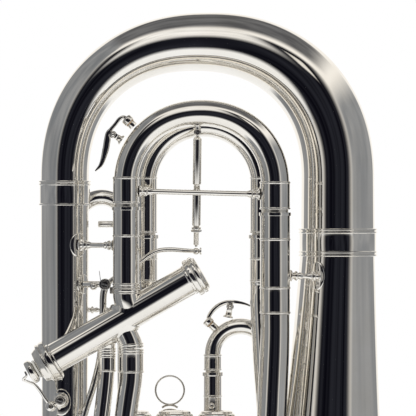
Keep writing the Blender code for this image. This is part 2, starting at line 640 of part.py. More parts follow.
def make_valves(soldered):
    """soldered holds the slides' outer tubes that belong to a casing, by the valve's number."""
    first, second, third = VALVE_XS
    ports = {
        1: port_stubs(first, [((35.0, VALVE_Y, 440), 10.0), ((first, -37.0, 372), 7.6),
                              ((second + CASING_R + 0.5, VALVE_Y, 422), 7.6),
                              ((second + CASING_R + 0.5, VALVE_Y, 386), 7.6)]),
        2: port_stubs(second, [((third + CASING_R + 0.5, VALVE_Y, 432), 7.6),
                               ((third + CASING_R + 0.5, VALVE_Y, 396), 7.6)]),
        3: port_stubs(third, [((third, -34.0, 450), 9.6), ((-86.0, VALVE_Y, 425), 7.4),
                              ((third, 0.9, 420), 8.0), ((-85.9, -5.8, 385), 8.0)]),
    }
    up = (0, 0, 1)
    for number, x in enumerate(VALVE_XS, 1):
        where = (x, VALVE_Y, VALVE_Z)
        solid = casing(where, up, ports[number], soldered.get(number, ()))
        node(f"valve_{number}_casing", solid, origin=where)
    lean = (math.cos(SIDE_VALVE_TILT), 0.0, math.sin(SIDE_VALVE_TILT))
    middle = side_valve_point(0)
    inlet = [(MTS_LEFT_X, FRONT_Y, MTS_LEFT["tube_end"] - GAP, 12.2), (MTS_LEFT_X, FRONT_Y, 601, 12.2),
             (-72.6, -46.0, 594, 12.2), (-69.5, -45.0, 587.5, 11.5), (-67.0, SIDE_VALVE_Y, 583.5, 10.5)]
    outlet = [(-78.5, SIDE_VALVE_Y, 577, 9.0), (-74.5, SIDE_VALVE_Y, 567.9, 9.9),
              (-71.5, SIDE_VALVE_Y, 561, 10.4), (-69.9, SIDE_VALVE_Y, 556.0, 10.6),
              (-69.9, SIDE_VALVE_Y, 553.0, 10.6)]
    second_outlet = [(-93.5, -43.0, 568, 6.5), (-91.5, -41.5, 559, 7.4), (-92.0, -40.0, 553.0, 7.4),
                     (-92.0, -40.0, 549.0, 7.4)]
    solid = casing(middle, lean, [inlet, outlet, second_outlet], soldered[4])
    node("valve_4_casing", solid, origin=middle)
    places = [((x, VALVE_Y, VALVE_Z), up, -VALVE_TRAVEL) for x in VALVE_XS] + [(middle, lean, 0.0)]
    for number, (where, axis, rise) in enumerate(places, 1):
        moved = tuple(Vector(where) + Vector(axis) * rise)
        name = f"valve_{number}"
        bottom_r, top_r = SIDE_CAP_R if number == 4 else CAP_R
        node(f"{name}_bottom_cap", place(bottom_cap(bottom_r), where, axis), origin=where)
        node(f"{name}_top_cap", place(top_cap(top_r), where, axis), origin=where)
        node(f"{name}_piston", place(piston(), moved, axis), "nickel_silver", origin=where)
        node(f"{name}_button", place(button(), moved, axis), origin=where)
        length = CASING_HALF - PISTON[1] - rise - GAP
        node(f"{name}_spring", place(spring(length), where, axis), "spring_steel", origin=where)


def make_valve_tubes():
    feed = [(-69.9, SIDE_VALVE_Y, 552.7, 10.6), (-69.9, SIDE_VALVE_Y, 530, 10.6), (-73.0, -45.5, 505, 10.4),
            (-75.5, -48.0, 484, 9.8), (-74.0, -48.5, 468, 9.6), (-71.5, -45.5, 457, 9.6),
            (-69.2, -40.0, 450.8, 9.6), (-68.8, -37.5, 450, 9.6), (-68.8, -34.4, 450, 9.6)]
    node("valve_4_feed_tube", strand(feed, 12))
    second = [(-92.0, -40.0, 548.7, 7.4), (-92.4, -40.5, 530, 7.4), (-97.0, -41.5, 489, 7.4),
              (-100.5, -41.5, 462, 7.4), (-101.0, -38.0, 446, 7.4), (-99.5, -27.0, 431, 7.4),
              (-94.0, -18.5, 425.5, 7.4), (-90.0, VALVE_Y, 425, 7.4), (-86.4, VALVE_Y, 425, 7.4)]
    node("compensating_tube", strand(second, 10))


def make_lock():
    """A round foot on the outer branch, and the lever whose hook holds the fourth valve's button down."""
    x, z = -134.6, 504.9
    front = -BOW_R_LEFT - GAP
    post = [(0, 20.5), (3.6, 20.5), (3.6, 18.7), (2.2, 18.5), (2.2, 9.4), (4.8, 9.0), (5.5, 3.0),
            (11.5, 1.6), (11.5, 0), (0, 0)]
    node("lock_bracket", turned(post, (x, front - 0.2, z), (0, -1, 0), 12))
    pivot = (x, front - 13.9, z)
    y = pivot[1]
    barrel = turned([(5.4, 3.9), (5.4, -3.9), (2.6, -3.9), (2.6, 3.9)], pivot, (0, -1, 0), 12, ring=True)
    tip = side_valve_point(BUTTON[0] - 2.6)
    strip = strand([(x - 3.5, y, z - 1.5, 1.8), (-143.0, y, 501.5, 1.8), (-150.0, y - 1.0, 509.0, 1.8),
                    (-157.0, y - 2.0, 519.5, 1.8), (-164.5, y - 4.0, 522.0, 1.8),
                    (-168.2, -42.5, 525.5, 1.8), (tip[0] + 0.2, tip[1] + 0.5, tip[2] - 0.5, 1.7)], 8)
    knob_profile = [(0, 3.0), (2.6, 2.0), (3.6, 0), (2.6, -2.0), (0, -3.0)]
    knob = turned(knob_profile, (-143.0, y, 500.0), (0, 1, 0), 10)
    node("lock_lever", combined(barrel, [strip, knob]), origin=pivot)


def make_leadpipe():
    first = VALVE_XS[0]
    route = [(first, -37.3, 372, 7.4), (first, -41.5, 372, 7.4), (12.0, -52, 371, 7.4), (30, -67, 365, 7.3),
             (62, -80, 348, 7.1), (100, -86, 320, 6.9), (138, -83, 290, 6.7), (168, -70, 268, 6.5)]
    node("leadpipe", strand(route, 10, 0.9))
    end = Vector(route[-1][:3])
    axis = (end - Vector(route[-2][:3])).normalized()
    base = end + axis * GAP
    profile = [(6.2, 40), (9.2, 40), (9.2, 36), (8.2, 35), (8.8, 0), (5.2, 0)]
    node("mouthpiece_receiver", turned(profile, tuple(base), axis, 14, ring=True))


make_bell()
make_bows()
make_main_slide()
make_braces()
make_trigger()
soldered_tubes = make_slides()
make_water_keys()
make_valves(soldered_tubes)
make_valve_tubes()
make_lock()
make_leadpipe()
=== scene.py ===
"""Looks of the silver-plated compensating tuba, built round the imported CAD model.

Shapes are given in the CAD part's design coordinates: millimetres, +X towards the bell, +Y away from
the valves' side and +Z up from the bell rim. piece() turns them into metres in the frame.
"""

import math

import bmesh
import bpy
import numpy as np
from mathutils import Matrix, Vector


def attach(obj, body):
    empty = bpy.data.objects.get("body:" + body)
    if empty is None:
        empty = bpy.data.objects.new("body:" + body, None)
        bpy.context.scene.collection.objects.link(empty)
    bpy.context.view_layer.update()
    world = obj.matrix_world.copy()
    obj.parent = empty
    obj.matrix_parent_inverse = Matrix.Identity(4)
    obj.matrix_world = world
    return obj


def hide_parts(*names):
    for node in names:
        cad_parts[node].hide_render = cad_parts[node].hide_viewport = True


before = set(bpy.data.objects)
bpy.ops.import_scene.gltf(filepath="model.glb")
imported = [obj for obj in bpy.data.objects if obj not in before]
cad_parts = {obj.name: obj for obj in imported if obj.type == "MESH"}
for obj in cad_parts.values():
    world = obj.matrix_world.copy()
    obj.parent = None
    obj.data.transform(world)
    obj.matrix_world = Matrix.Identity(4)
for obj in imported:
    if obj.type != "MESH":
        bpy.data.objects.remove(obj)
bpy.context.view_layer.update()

MM = 0.001
CENTRE_X = 59.46  # the design coordinate that the frame's origin stands on
SHARP = math.radians(33)  # edges sharper than this aren't shaded smooth
WELD = 2e-8  # points this close become one, in metres
SHELL_WELD = 1e-6
SLEEVE_WALL = 1.6
CORNER_POWER = 0.55  # how square a strap's section is, from 1 for round to 0 for square
NEARLY_STRAIGHT = -0.96  # a profile's corner with a cosine below this is left alone
MOST_CORNER = 0.4  # the most of a profile's side that a rounded corner takes

# Planes of the tubing, front to back
FRONT_Y = -46.5
SIDE_VALVE_Y = -44.0
TRIGGER_Y = -26.3
VALVE_Y = -16.0
SLIDE_4_Y = -12.5
BOW_Y = 0.0
SLIDE_1_Y = 14.0
SLIDE_3_Y = 32.0

BELL_TOP_Z = 649.0
BELL_TOP_X = 119.5
BELL_RIM_X = 98.2
BOW_LEFT_X = -131.7
MTS_LEFT_X = -74.4
MTS_RIGHT_X = 60.9
VALVE_XS = (8.0, -30.6, -68.8)
VALVE_Z = 410.0
CASING_HALF = 72.5
CASING_R = 14.0
BUTTON_END = -98.0  # along a valve's axis from its middle, when pressed
VALVE_TRAVEL = 19.0
SIDE_VALVE = (-78.5, SIDE_VALVE_Y, 579.4)
TILT = math.radians(30.3)
SIDE_AXIS = (math.cos(TILT), 0.0, math.sin(TILT))
UP = (0.0, 0.0, 1.0)
FRONT = (0.0, -1.0, 0.0)


# --- Objects and materials -----------------------------------------------------------------------

def put(name, data):
    """A new object of the scene that holds this mesh or camera."""
    obj = bpy.data.objects.new(name, data)
    bpy.context.scene.collection.objects.link(obj)
    return obj


def link(tree, source, target):
    tree.links.new(source, target)


def node_of(tree, kind, values=(), **settings):
    """A new shader node with these values at its sockets."""
    made = tree.nodes.new(kind)
    for name, value in settings.items():
        setattr(made, name, value)
    for socket, value in values:
        made.inputs[socket].default_value = value
    return made


def ramp(tree, factor, start, dark, end, light):
    """A colour ramp from dark to light over this part of an output's range."""
    made = node_of(tree, "ShaderNodeValToRGB")
    low, high = made.color_ramp.elements
    low.position, low.color = start, (*dark, 1.0)
    high.position, high.color = end, (*light, 1.0)
    link(tree, factor, made.inputs["Fac"])
    return made.outputs["Color"]


def metal(name, light, dark, rough, bump=0.02, cloud=14.0, grain=420.0, stretch=(1, 1, 1), metallic=1.0,
          coat=0.0):
    """Plated or bare metal: cloudy tone, roughness that varies, and a fine polished grain."""
    made = bpy.data.materials.new(name)
    made.use_nodes = True
    tree = made.node_tree
    shader = tree.nodes["Principled BSDF"]
    shader.inputs["Metallic"].default_value = metallic
    shader.inputs["Coat Weight"].default_value = coat
    where = node_of(tree, "ShaderNodeTexCoord")
    clouds = node_of(tree, "ShaderNodeTexNoise",
                     (("Scale", cloud), ("Detail", 5.0), ("Roughness", 0.62)))
    link(tree, where.outputs["Object"], clouds.inputs["Vector"])
    tone = ramp(tree, clouds.outputs["Fac"], 0.28, dark, 0.62, light)
    link(tree, tone, shader.inputs["Base Color"])
    spread = node_of(tree, "ShaderNodeMapRange", (("From Min", 0.3), ("From Max", 0.7),
                                                  ("To Min", rough[0]), ("To Max", rough[1])))
    link(tree, clouds.outputs["Fac"], spread.inputs["Value"])
    link(tree, spread.outputs["Result"], shader.inputs["Roughness"])
    place = node_of(tree, "ShaderNodeMapping", (("Scale", stretch),))
    link(tree, where.outputs["Object"], place.inputs["Vector"])
    fine = node_of(tree, "ShaderNodeTexNoise", (("Scale", grain), ("Detail", 3.0)))
    link(tree, place.outputs["Vector"], fine.inputs["Vector"])
    raised = node_of(tree, "ShaderNodeBump", (("Strength", bump), ("Distance", 0.0004)))
    link(tree, fine.outputs["Fac"], raised.inputs["Height"])
    link(tree, raised.outputs["Normal"], shader.inputs["Normal"])
    return made


FINISH = {
    "silver": metal("silver", (0.93, 0.91, 0.87), (0.86, 0.83, 0.77), (0.025, 0.07), bump=0.012),
    "silver_wire": metal("silver_wire", (0.90, 0.88, 0.83), (0.78, 0.74, 0.67), (0.06, 0.14), bump=0.03),
    "satin": metal("satin", (0.90, 0.87, 0.80), (0.82, 0.78, 0.70), (0.22, 0.34), bump=0.08,
                   stretch=(1, 1, 0.06)),
    "nickel": metal("nickel", (0.74, 0.72, 0.68), (0.62, 0.59, 0.54), (0.16, 0.3), bump=0.06,
                    stretch=(1, 1, 0.05)),
    "steel": metal("steel", (0.52, 0.52, 0.53), (0.36, 0.35, 0.35), (0.2, 0.36), bump=0.05),
    "screw": metal("screw", (0.30, 0.29, 0.28), (0.16, 0.15, 0.15), (0.18, 0.34), bump=0.05),
    "pearl": metal("pearl", (0.90, 0.88, 0.86), (0.72, 0.76, 0.78), (0.12, 0.24), cloud=120.0,
                   metallic=0.0, coat=0.6),
    "felt": metal("felt", (0.80, 0.78, 0.72), (0.62, 0.60, 0.54), (0.85, 0.95), bump=0.6, cloud=300.0,
                  grain=1800.0, metallic=0.0),
    "cork": metal("cork", (0.52, 0.36, 0.21), (0.28, 0.17, 0.09), (0.75, 0.9), bump=0.5, cloud=500.0,
                  grain=1200.0, metallic=0.0),
}


# --- Shapes: each is (points, faces, finish) -----------------------------------------------------

def skin(rings, closed=False, finish=None):
    """Faces over a stack of rings: joined end to end if closed, else capped."""
    rings = np.asarray(rings, float)
    count, sides, _ = rings.shape
    faces = []
    for i in range(count if closed else count - 1):
        a, b = i * sides, (i + 1) % count * sides
        for j in range(sides):
            k = (j + 1) % sides
            faces.append((a + j, a + k, b + k, b + j))
    if not closed:
        faces.append(tuple(range(sides))[::-1])
        faces.append(tuple((count - 1) * sides + j for j in range(sides)))
    return rings.reshape(-1, 3), faces, finish


def smooth(knots, steps):
    """Points on one smooth curve through the knots."""
    p = np.array(knots, float)
    p = np.vstack([2 * p[0] - p[1], p, 2 * p[-1] - p[-2]])
    found = []
    for p0, p1, p2, p3 in zip(p, p[1:], p[2:], p[3:]):
        for t in np.arange(steps) / steps:
            found.append(0.5 * (2 * p1 + (p2 - p0) * t + (2 * p0 - 5 * p1 + 4 * p2 - p3) * t**2
                                + (3 * p1 - p0 - 3 * p2 + p3) * t**3))
    return np.array([*found, p[-2]])


def directions(path):
    """The unit tangent at each point of a path."""
    run = np.gradient(path, axis=0)
    return run / np.linalg.norm(run, axis=1)[:, None]


def sweep(knots, sides, steps, wall=None, finish=None):
    """A round tube or rod along (x, y, z, radius) knots."""
    path = smooth(knots, steps) if steps > 1 else np.array(knots, float)
    centre, radius = path[:, :3], path[:, 3]
    along = directions(centre)
    across = np.cross(along[0], (0.31, 0.87, 0.38))
    angles = np.linspace(0, 2 * math.pi, sides, endpoint=False)
    turn = []
    for direction in along:
        across = across - direction * across.dot(direction)
        across /= np.linalg.norm(across)
        up = np.cross(direction, across)
        turn.append(np.cos(angles)[:, None] * across + np.sin(angles)[:, None] * up)
    turn = np.array(turn)
    outer = centre[:, None] + turn * radius[:, None, None]
    if wall is None:
        return skin(outer, finish=finish)
    inner = centre[:, None] + turn * (radius - wall)[:, None, None]
    return skin(np.concatenate([outer, inner[::-1]]), closed=True, finish=finish)


def strap(knots, width, thick, side=(0, 1, 0), steps=5, finish=None):
    """A flat bar with rounded edges along (x, y, z) knots; width runs along side."""
    path = smooth(knots, steps)
    along = directions(path)
    angles = np.linspace(0, 2 * math.pi, 16, endpoint=False)
    u = np.sign(np.cos(angles)) * np.abs(np.cos(angles)) ** CORNER_POWER
    v = np.sign(np.sin(angles)) * np.abs(np.sin(angles)) ** CORNER_POWER
    share = np.linspace(0, 1, len(path))
    sizes = [np.interp(share, np.linspace(0, 1, np.size(size)), np.atleast_1d(size))
             for size in (width, thick)]
    rings = []
    for point, direction, wide, deep in zip(path, along, *sizes):
        across = np.array(side, float) - direction * np.dot(side, direction)
        across /= np.linalg.norm(across)
        normal = np.cross(direction, across)
        rings.append(point + u[:, None] * across * wide / 2 + v[:, None] * normal * deep / 2)
    return skin(rings, finish=finish)


def soften(profile, size, ring):
    """The profile with each sharp corner rounded."""
    points = [np.array(p, float) for p in profile]
    found = []
    for i, point in enumerate(points):
        if not ring and i in (0, len(points) - 1):
            found.append(point)
            continue
        before = points[i - 1] - point
        after = points[(i + 1) % len(points)] - point
        near, far = np.linalg.norm(before), np.linalg.norm(after)
        if min(near, far) < 1e-6 or before.dot(after) / (near * far) < NEARLY_STRAIGHT:
            found.append(point)
            continue
        start = point + before / near * min(size, MOST_CORNER * near)
        end = point + after / far * min(size, MOST_CORNER * far)
        found += [start, (start + 2 * point + end) / 4, end]
    return np.array(found)


def lathe(profile, base, axis=UP, sides=56, ring=False, edge=0.35, flutes=None, finish=None):
    """A solid turned about an axis from (radius, height) points. flutes is (count, depth, low, high)."""
    points = soften(profile, edge, ring) if edge else np.array(profile, float)
    turn = np.array(Vector(axis).to_track_quat("Z", "Y").to_matrix())
    if flutes:
        sides = flutes[0] * 4
    angles = np.linspace(0, 2 * math.pi, sides, endpoint=False)
    rings = []
    for radius, height in points:
        spread = np.full(sides, radius)
        if flutes and flutes[2] < height < flutes[3] and radius > 1:
            spread -= flutes[1] * (np.arange(sides) % 4 >= 2)
        ring_points = np.stack([np.cos(angles) * spread, np.sin(angles) * spread,
                                np.full(sides, height)], axis=1)
        rings.append(ring_points @ turn.T + np.array(base, float))
    return skin(rings, closed=ring, finish=finish)


def torus(centre, axis, major, minor, sides=72, finish=None):
    angles = np.linspace(0, 2 * math.pi, 14, endpoint=False)
    profile = [(major + minor * math.cos(a), minor * math.sin(a)) for a in angles]
    return lathe(profile, centre, axis, sides, ring=True, edge=0, finish=finish)


def ball(centre, radius, axis=UP, finish=None, hole=0.0):
    angles = np.linspace(math.pi / 2, -math.pi / 2, 15)
    profile = [(max(radius * math.cos(a), hole), radius * math.sin(a)) for a in angles]
    profile[0] = (hole, profile[0][1])
    profile[-1] = (hole, profile[-1][1])
    return lathe(profile, centre, axis, 36, ring=hole > 0, edge=0, finish=finish)


def disc(base, axis, radius, height, sides=40, edge=0.35, finish=None):
    return lathe([(0, height), (radius, height), (radius, 0), (0, 0)], base, axis, sides, edge=edge,
                 finish=finish)


def screw_head(base, axis, radius, height):
    """A slotted screw's head."""
    profile = [(0, height), (radius * 0.8, height), (radius, height * 0.6), (radius, 0), (0, 0)]
    head = lathe(profile, base, axis, 28, edge=0.2, finish="screw")
    along = np.array(axis, float) / np.linalg.norm(axis)
    side = np.cross(along, (0.3, 0.2, 0.9))
    side /= np.linalg.norm(side)
    middle = np.array(base) + along * (height + 0.02)
    slot = strap([middle - side * radius * 0.8, middle, middle + side * radius * 0.8], radius * 0.3, 0.3,
                 np.cross(along, side), 1, "steel")
    return [head, slot]


def band(x, y, low, high, radius, beads, rise=0.9):
    """A ferrule round an upright tube, with a raised bead at each height in beads."""
    profile = [(radius - SLEEVE_WALL, high), (radius, high)]
    for height in sorted(beads, reverse=True):
        top, bottom = min(height + 0.9, high), max(height - 0.9, low)
        profile += [(radius, top), (radius + rise, top - 0.35), (radius + rise, bottom + 0.35),
                    (radius, bottom)]
    profile += [(radius, low), (radius - SLEEVE_WALL, low)]
    clean = [profile[0]]
    for point in profile[1:]:
        if math.dist(point, clean[-1]) > 1e-6:
            clean.append(point)
    return lathe(clean, (x, y, 0), UP, 72, ring=True, edge=0.3)


def arch(left, right, y, base, crest, radii, squareness, count):
    """A bow's (x, y, z, radius) knots between two legs. radii are at the left, crest and right."""
    middle, half = (left + right) / 2, (right - left) / 2
    found = []
    for i in range(count + 1):
        across = math.cos(math.pi * (1 - i / count))
        up = math.sin(math.pi * i / count)
        share = abs(across)
        end = radii[0] if across < 0 else radii[2]
        found.append((middle + half * math.copysign(share ** (2 / squareness), across), y,
                      base + (crest - base) * max(up, 0.0) ** (2 / squareness),
                      radii[1] + (end - radii[1]) * share))
    return found


def stay(start, end, radius):
    """A turned brace rod, with a foot, a neck and a bead at each end."""
    run = np.array(end, float) - np.array(start, float)
    length = float(np.linalg.norm(run))
    turned = [(radius + 2.9, 0), (radius + 2.9, 1.1), (radius + 1.2, 2.0), (radius + 0.4, 3.6),
              (radius + 2.0, 4.8), (radius + 2.0, 6.2), (radius + 0.4, 7.4), (radius + 1.1, 9.2),
              (radius, 12.0)]
    scale = min(1.0, 0.48 * length / 12.0)
    low = [(r, h * scale) for r, h in turned]
    profile = [(0, 0), *low, *[(r, length - h) for r, h in reversed(low)], (0, length)]
    return lathe(profile[::-1], start, run, 36, edge=0.25)


def piece(name, body, node, shapes, finish="silver"):
    """Joins the shapes into one mesh that rides on a body and stands for a CAD node."""
    flat = []
    for shape in shapes:
        flat += shape if isinstance(shape, list) else [shape]
    used = [finish] + sorted({shape[2] for shape in flat} - {None, finish})
    points, faces, kinds, offset = [], [], [], 0
    for verts, polygons, kind in flat:
        points.append(verts)
        faces += [tuple(offset + i for i in face) for face in polygons]
        kinds += [used.index(kind or finish)] * len(polygons)
        offset += len(verts)
    points = (np.concatenate(points) - (CENTRE_X, 0, 0)) * MM
    mesh = bpy.data.meshes.new(name)
    mesh.from_pydata(points.tolist(), [], faces)
    mesh.polygons.foreach_set("material_index", kinds)
    for kind in used:
        mesh.materials.append(FINISH[kind])
    made = bmesh.new()
    made.from_mesh(mesh)
    bmesh.ops.remove_doubles(made, verts=made.verts, dist=WELD)
    bmesh.ops.dissolve_degenerate(made, edges=made.edges, dist=WELD / 2)
    bmesh.ops.recalc_face_normals(made, faces=made.faces)
    made.to_mesh(mesh)
    made.free()
    mesh.shade_smooth()
    mesh.set_sharp_from_angle(angle=SHARP)
    obj = put(name, mesh)
    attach(obj, body)
    if node:
        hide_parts(*([node] if isinstance(node, str) else node))
    return obj


# --- Bell, bows and branches ---------------------------------------------------------------------

def bell_radius(z):
    return 150.4 * (430.0 / (430.0 + z)) ** 1.628 + 36.0 * math.exp(-z / 30.0)


def bell_inside(z, wall):
    """The point of the inner surface across the wall from the outer surface at this height."""
    slope = (bell_radius(z + 0.1) - bell_radius(z - 0.1)) / 0.2
    across = wall / math.hypot(1.0, slope)
    return bell_radius(z) - across, z + slope * across


def bell():
    low, wall, sides = 4.5, 1.1, 144
    heights = [low + (BELL_TOP_Z - low) * (i / 60) ** 1.7 for i in range(60, -1, -1)]
    outer = [(bell_radius(z), z) for z in heights]
    rim = [(190.4, 4.0), (190.5, 2.4), (190.3, 1.0), (189.6, 0.2), (188.7, 0.0), (187.6, 0.0),
           (186.6, 0.4), (185.6, 1.2)]
    inner = [bell_inside(z, wall) for z in reversed(heights)]
    inner = [point for point in inner if point[1] > 1.8]
    inner[-1] = (inner[-1][0], BELL_TOP_Z)
    lean = (BELL_TOP_X - BELL_RIM_X) / (BELL_TOP_Z + 1)
    shell, faces, _ = lathe(outer + rim + inner, (0, 0, 0), UP, sides, ring=True, edge=0)
    shell[:, 0] += BELL_RIM_X + lean * shell[:, 2]
    first_inner = (len(outer) + len(rim)) * sides
    outside = [face for face in faces if min(face) < first_inner]
    inside = [face for face in faces if min(face) >= first_inner]
    garland = [torus((BELL_RIM_X + lean * z, 0, z), UP, bell_radius(z), 0.7, sides) for z in (12.0, 16.0)]
    obj = piece("bell_shell", "root", "bell",
                [(shell, outside, None), (shell, inside, "satin"), *garland])
    made = bmesh.new()
    made.from_mesh(obj.data)
    bmesh.ops.remove_doubles(made, verts=made.verts, dist=SHELL_WELD)
    bmesh.ops.recalc_face_normals(made, faces=made.faces)
    made.to_mesh(obj.data)
    made.free()


def bows():
    route = arch(BOW_LEFT_X, BELL_TOP_X, BOW_Y, 707.8, 833.4, (22.0, 26.7, 33.4), 2.22, 88)
    route = [(BOW_LEFT_X, BOW_Y, 694.6, 22.0), (BOW_LEFT_X, BOW_Y, 701, 22.0), *route,
             (BELL_TOP_X, BOW_Y, 680, 33.6), (BELL_TOP_X, BOW_Y, 649.3, 33.8)]
    piece("bottom_bow_tube", "root", "bottom_bow", [sweep(route, 72, 1, 1.2)])
    piece("left_bow_ferrule", "root", "bow_ferrule_left",
          [band(BOW_LEFT_X, BOW_Y, 683.0, 705.8, 23.1, (683.9, 702.4, 704.9))])
    piece("right_bow_ferrule", "root", "bow_ferrule_right",
          [band(BELL_TOP_X, BOW_Y, 636.2, 661.8, 35.2, (637.2, 640.2, 658.2, 660.9))])
    branch = [(BOW_LEFT_X, BOW_Y, z, r) for z, r in ((694.3, 22.0), (640, 21.9), (560, 21.6), (490, 21.2),
                                                     (420.3, 20.8))]
    ring = band(BOW_LEFT_X, BOW_Y, 421.0, 440.0, 22.1, (422.0, 439.0))
    piece("outer_branch_tube", "root", "outer_branch", [sweep(branch, 56, 6, 1.2), ring])
    joint = np.array((53.0, -45.5, 440.0))
    down = np.array((-0.12, 0.04, -1.0))
    down /= np.linalg.norm(down)
    inner = [(MTS_RIGHT_X, FRONT_Y, 583.9, 13.2), (MTS_RIGHT_X, FRONT_Y, 565, 13.2),
             (60.3, FRONT_Y, 545, 13.4),
             (59.0, FRONT_Y, 515, 13.5), (57.6, FRONT_Y, 486, 13.6), (*(joint - down * 16), 13.8),
             (*(joint - down * 0.15), 13.8)]
    collar = lathe([(13.0, 9), (15.2, 9), (15.6, 8), (15.2, 7), (15.2, -7), (15.6, -8), (15.2, -9),
                    (13.0, -9)],
                   joint - down * 9.5, down, 56, ring=True)
    piece("inner_branch_tube", "root", "inner_branch", [sweep(inner, 48, 5, 1.2), collar])
    route = [(*(joint + down * 0.15), 13.8), (*(joint + down * 6), 13.8), (50, -42, 421, 14.0),
             (45, -29, 396, 14.3), (38.5, -6, 372, 14.8), (26, 12, 350, 15.4), (5, 24, 325, 16.2),
             (-30, 28, 306, 17.2), (-72, 26, 307, 18.3), (-106, 17, 333, 19.4), (-126, 5, 374, 20.2),
             (BOW_LEFT_X, BOW_Y, 408, 20.7), (BOW_LEFT_X, BOW_Y, 420, 20.8)]
    ring = band(BOW_LEFT_X, BOW_Y, 406.0, 419.6, 22.0, (407.0, 418.6))
    piece("small_bow_tube", "root", "small_bow", [sweep(route, 48, 7, 1.2), ring])


# --- Main tuning slide and its trigger -----------------------------------------------------------

MTS_LEFT = {"x": MTS_LEFT_X, "r": 11.5, "bare": 10.6, "ferrule": 709.2, "crook_end": 684.6, "top": 681.8,
            "end": 607.3, "lines": (655.3, 611.2, 608.4)}
MTS_RIGHT = {"x": MTS_RIGHT_X, "r": 13.1, "bare": 12.1, "ferrule": 704.8, "crook_end": 679.2,
             "top": 676.6,
             "end": 584.2, "lines": (652.1, 608.0, 585.4)}


def main_slide():
    route = arch(MTS_LEFT_X, MTS_RIGHT_X, FRONT_Y, 702.0, 767.0, (11.3, 11.9, 12.9), 2.1, 72)
    shapes = [sweep(route, 56, 1, 1.0)]
    for leg in (MTS_LEFT, MTS_RIGHT):
        x, r, bare = leg["x"], leg["r"], leg["bare"]
        shapes.append(band(x, FRONT_Y, leg["crook_end"], leg["ferrule"], r + 0.5,
                           (leg["crook_end"] + 0.9, leg["ferrule"] - 1.2), 0.5))
        low = leg["top"] - 62.0
        shapes.append(sweep([(x, FRONT_Y, low, bare), (x, FRONT_Y, 703, bare)], 48, 1, 0.9, "satin"))
        tube = [band(x, FRONT_Y, leg["end"], leg["top"] - 0.1, r + 0.55, leg["lines"], 0.55),
                band(x, FRONT_Y, leg["top"] - 3.2, leg["top"], r + 1.5, (), 0.0)]
        side = "left" if leg is MTS_LEFT else "right"
        piece(f"main_slide_outer_{side}", "root", f"main_slide_tube_{side}", tube)
    nipple = lathe([(2.2, 8.2), (3.4, 8.2), (4.0, 6.0), (4.0, 0), (2.2, 0)], (-67.4, FRONT_Y, 754.6),
                   (-1, 0, 1), 32, ring=True)
    shapes.append(nipple)
    piece("main_slide_bow", "main_slide", "main_slide_crook", shapes)
    piece("main_slide_stay", "main_slide", "main_slide_brace",
          [stay((MTS_LEFT_X + 12.2, FRONT_Y, 695.9), (MTS_RIGHT_X - 13.8, FRONT_Y, 693.1), 2.5)])
    piece("left_stay", "root", "brace_outer_branch", [
        stay((-116.8, -19.7, 646.6), (-85.2, -38.2, 646.6), 2.4),
        flange((BOW_LEFT_X, BOW_Y), 646.6, 22.3, (0.60, -0.80), 9.0, 11.0)])
    piece("right_stay", "root", "brace_bell", [
        stay((101.4, -33.6, 618.0), (74.6, -41.4, 619.0), 2.4),
        flange((118.6, BOW_Y), 618.6, 36.2, (-0.53, -0.848), 7.6, 13.0)])


def flange(axis_at, z, radius, towards, half_width, half_height):
    """A thin oval plate that follows an upright tube of this radius, under a brace's end."""
    middle = math.atan2(towards[1], towards[0])
    rings = []
    for share, rise in ((0.02, 0.75), (0.5, 0.75), (0.9, 0.75), (0.96, 0.62), (1.0, 0.25), (1.0, -0.8)):
        loop = []
        for i in range(40):
            a = 2 * math.pi * i / 40
            turn = middle + half_width * share * math.cos(a) / radius
            loop.append((axis_at[0] + (radius + rise) * math.cos(turn),
                         axis_at[1] + (radius + rise) * math.sin(turn),
                         z + half_height * share * math.sin(a)))
        rings.append(loop)
    return skin(rings)


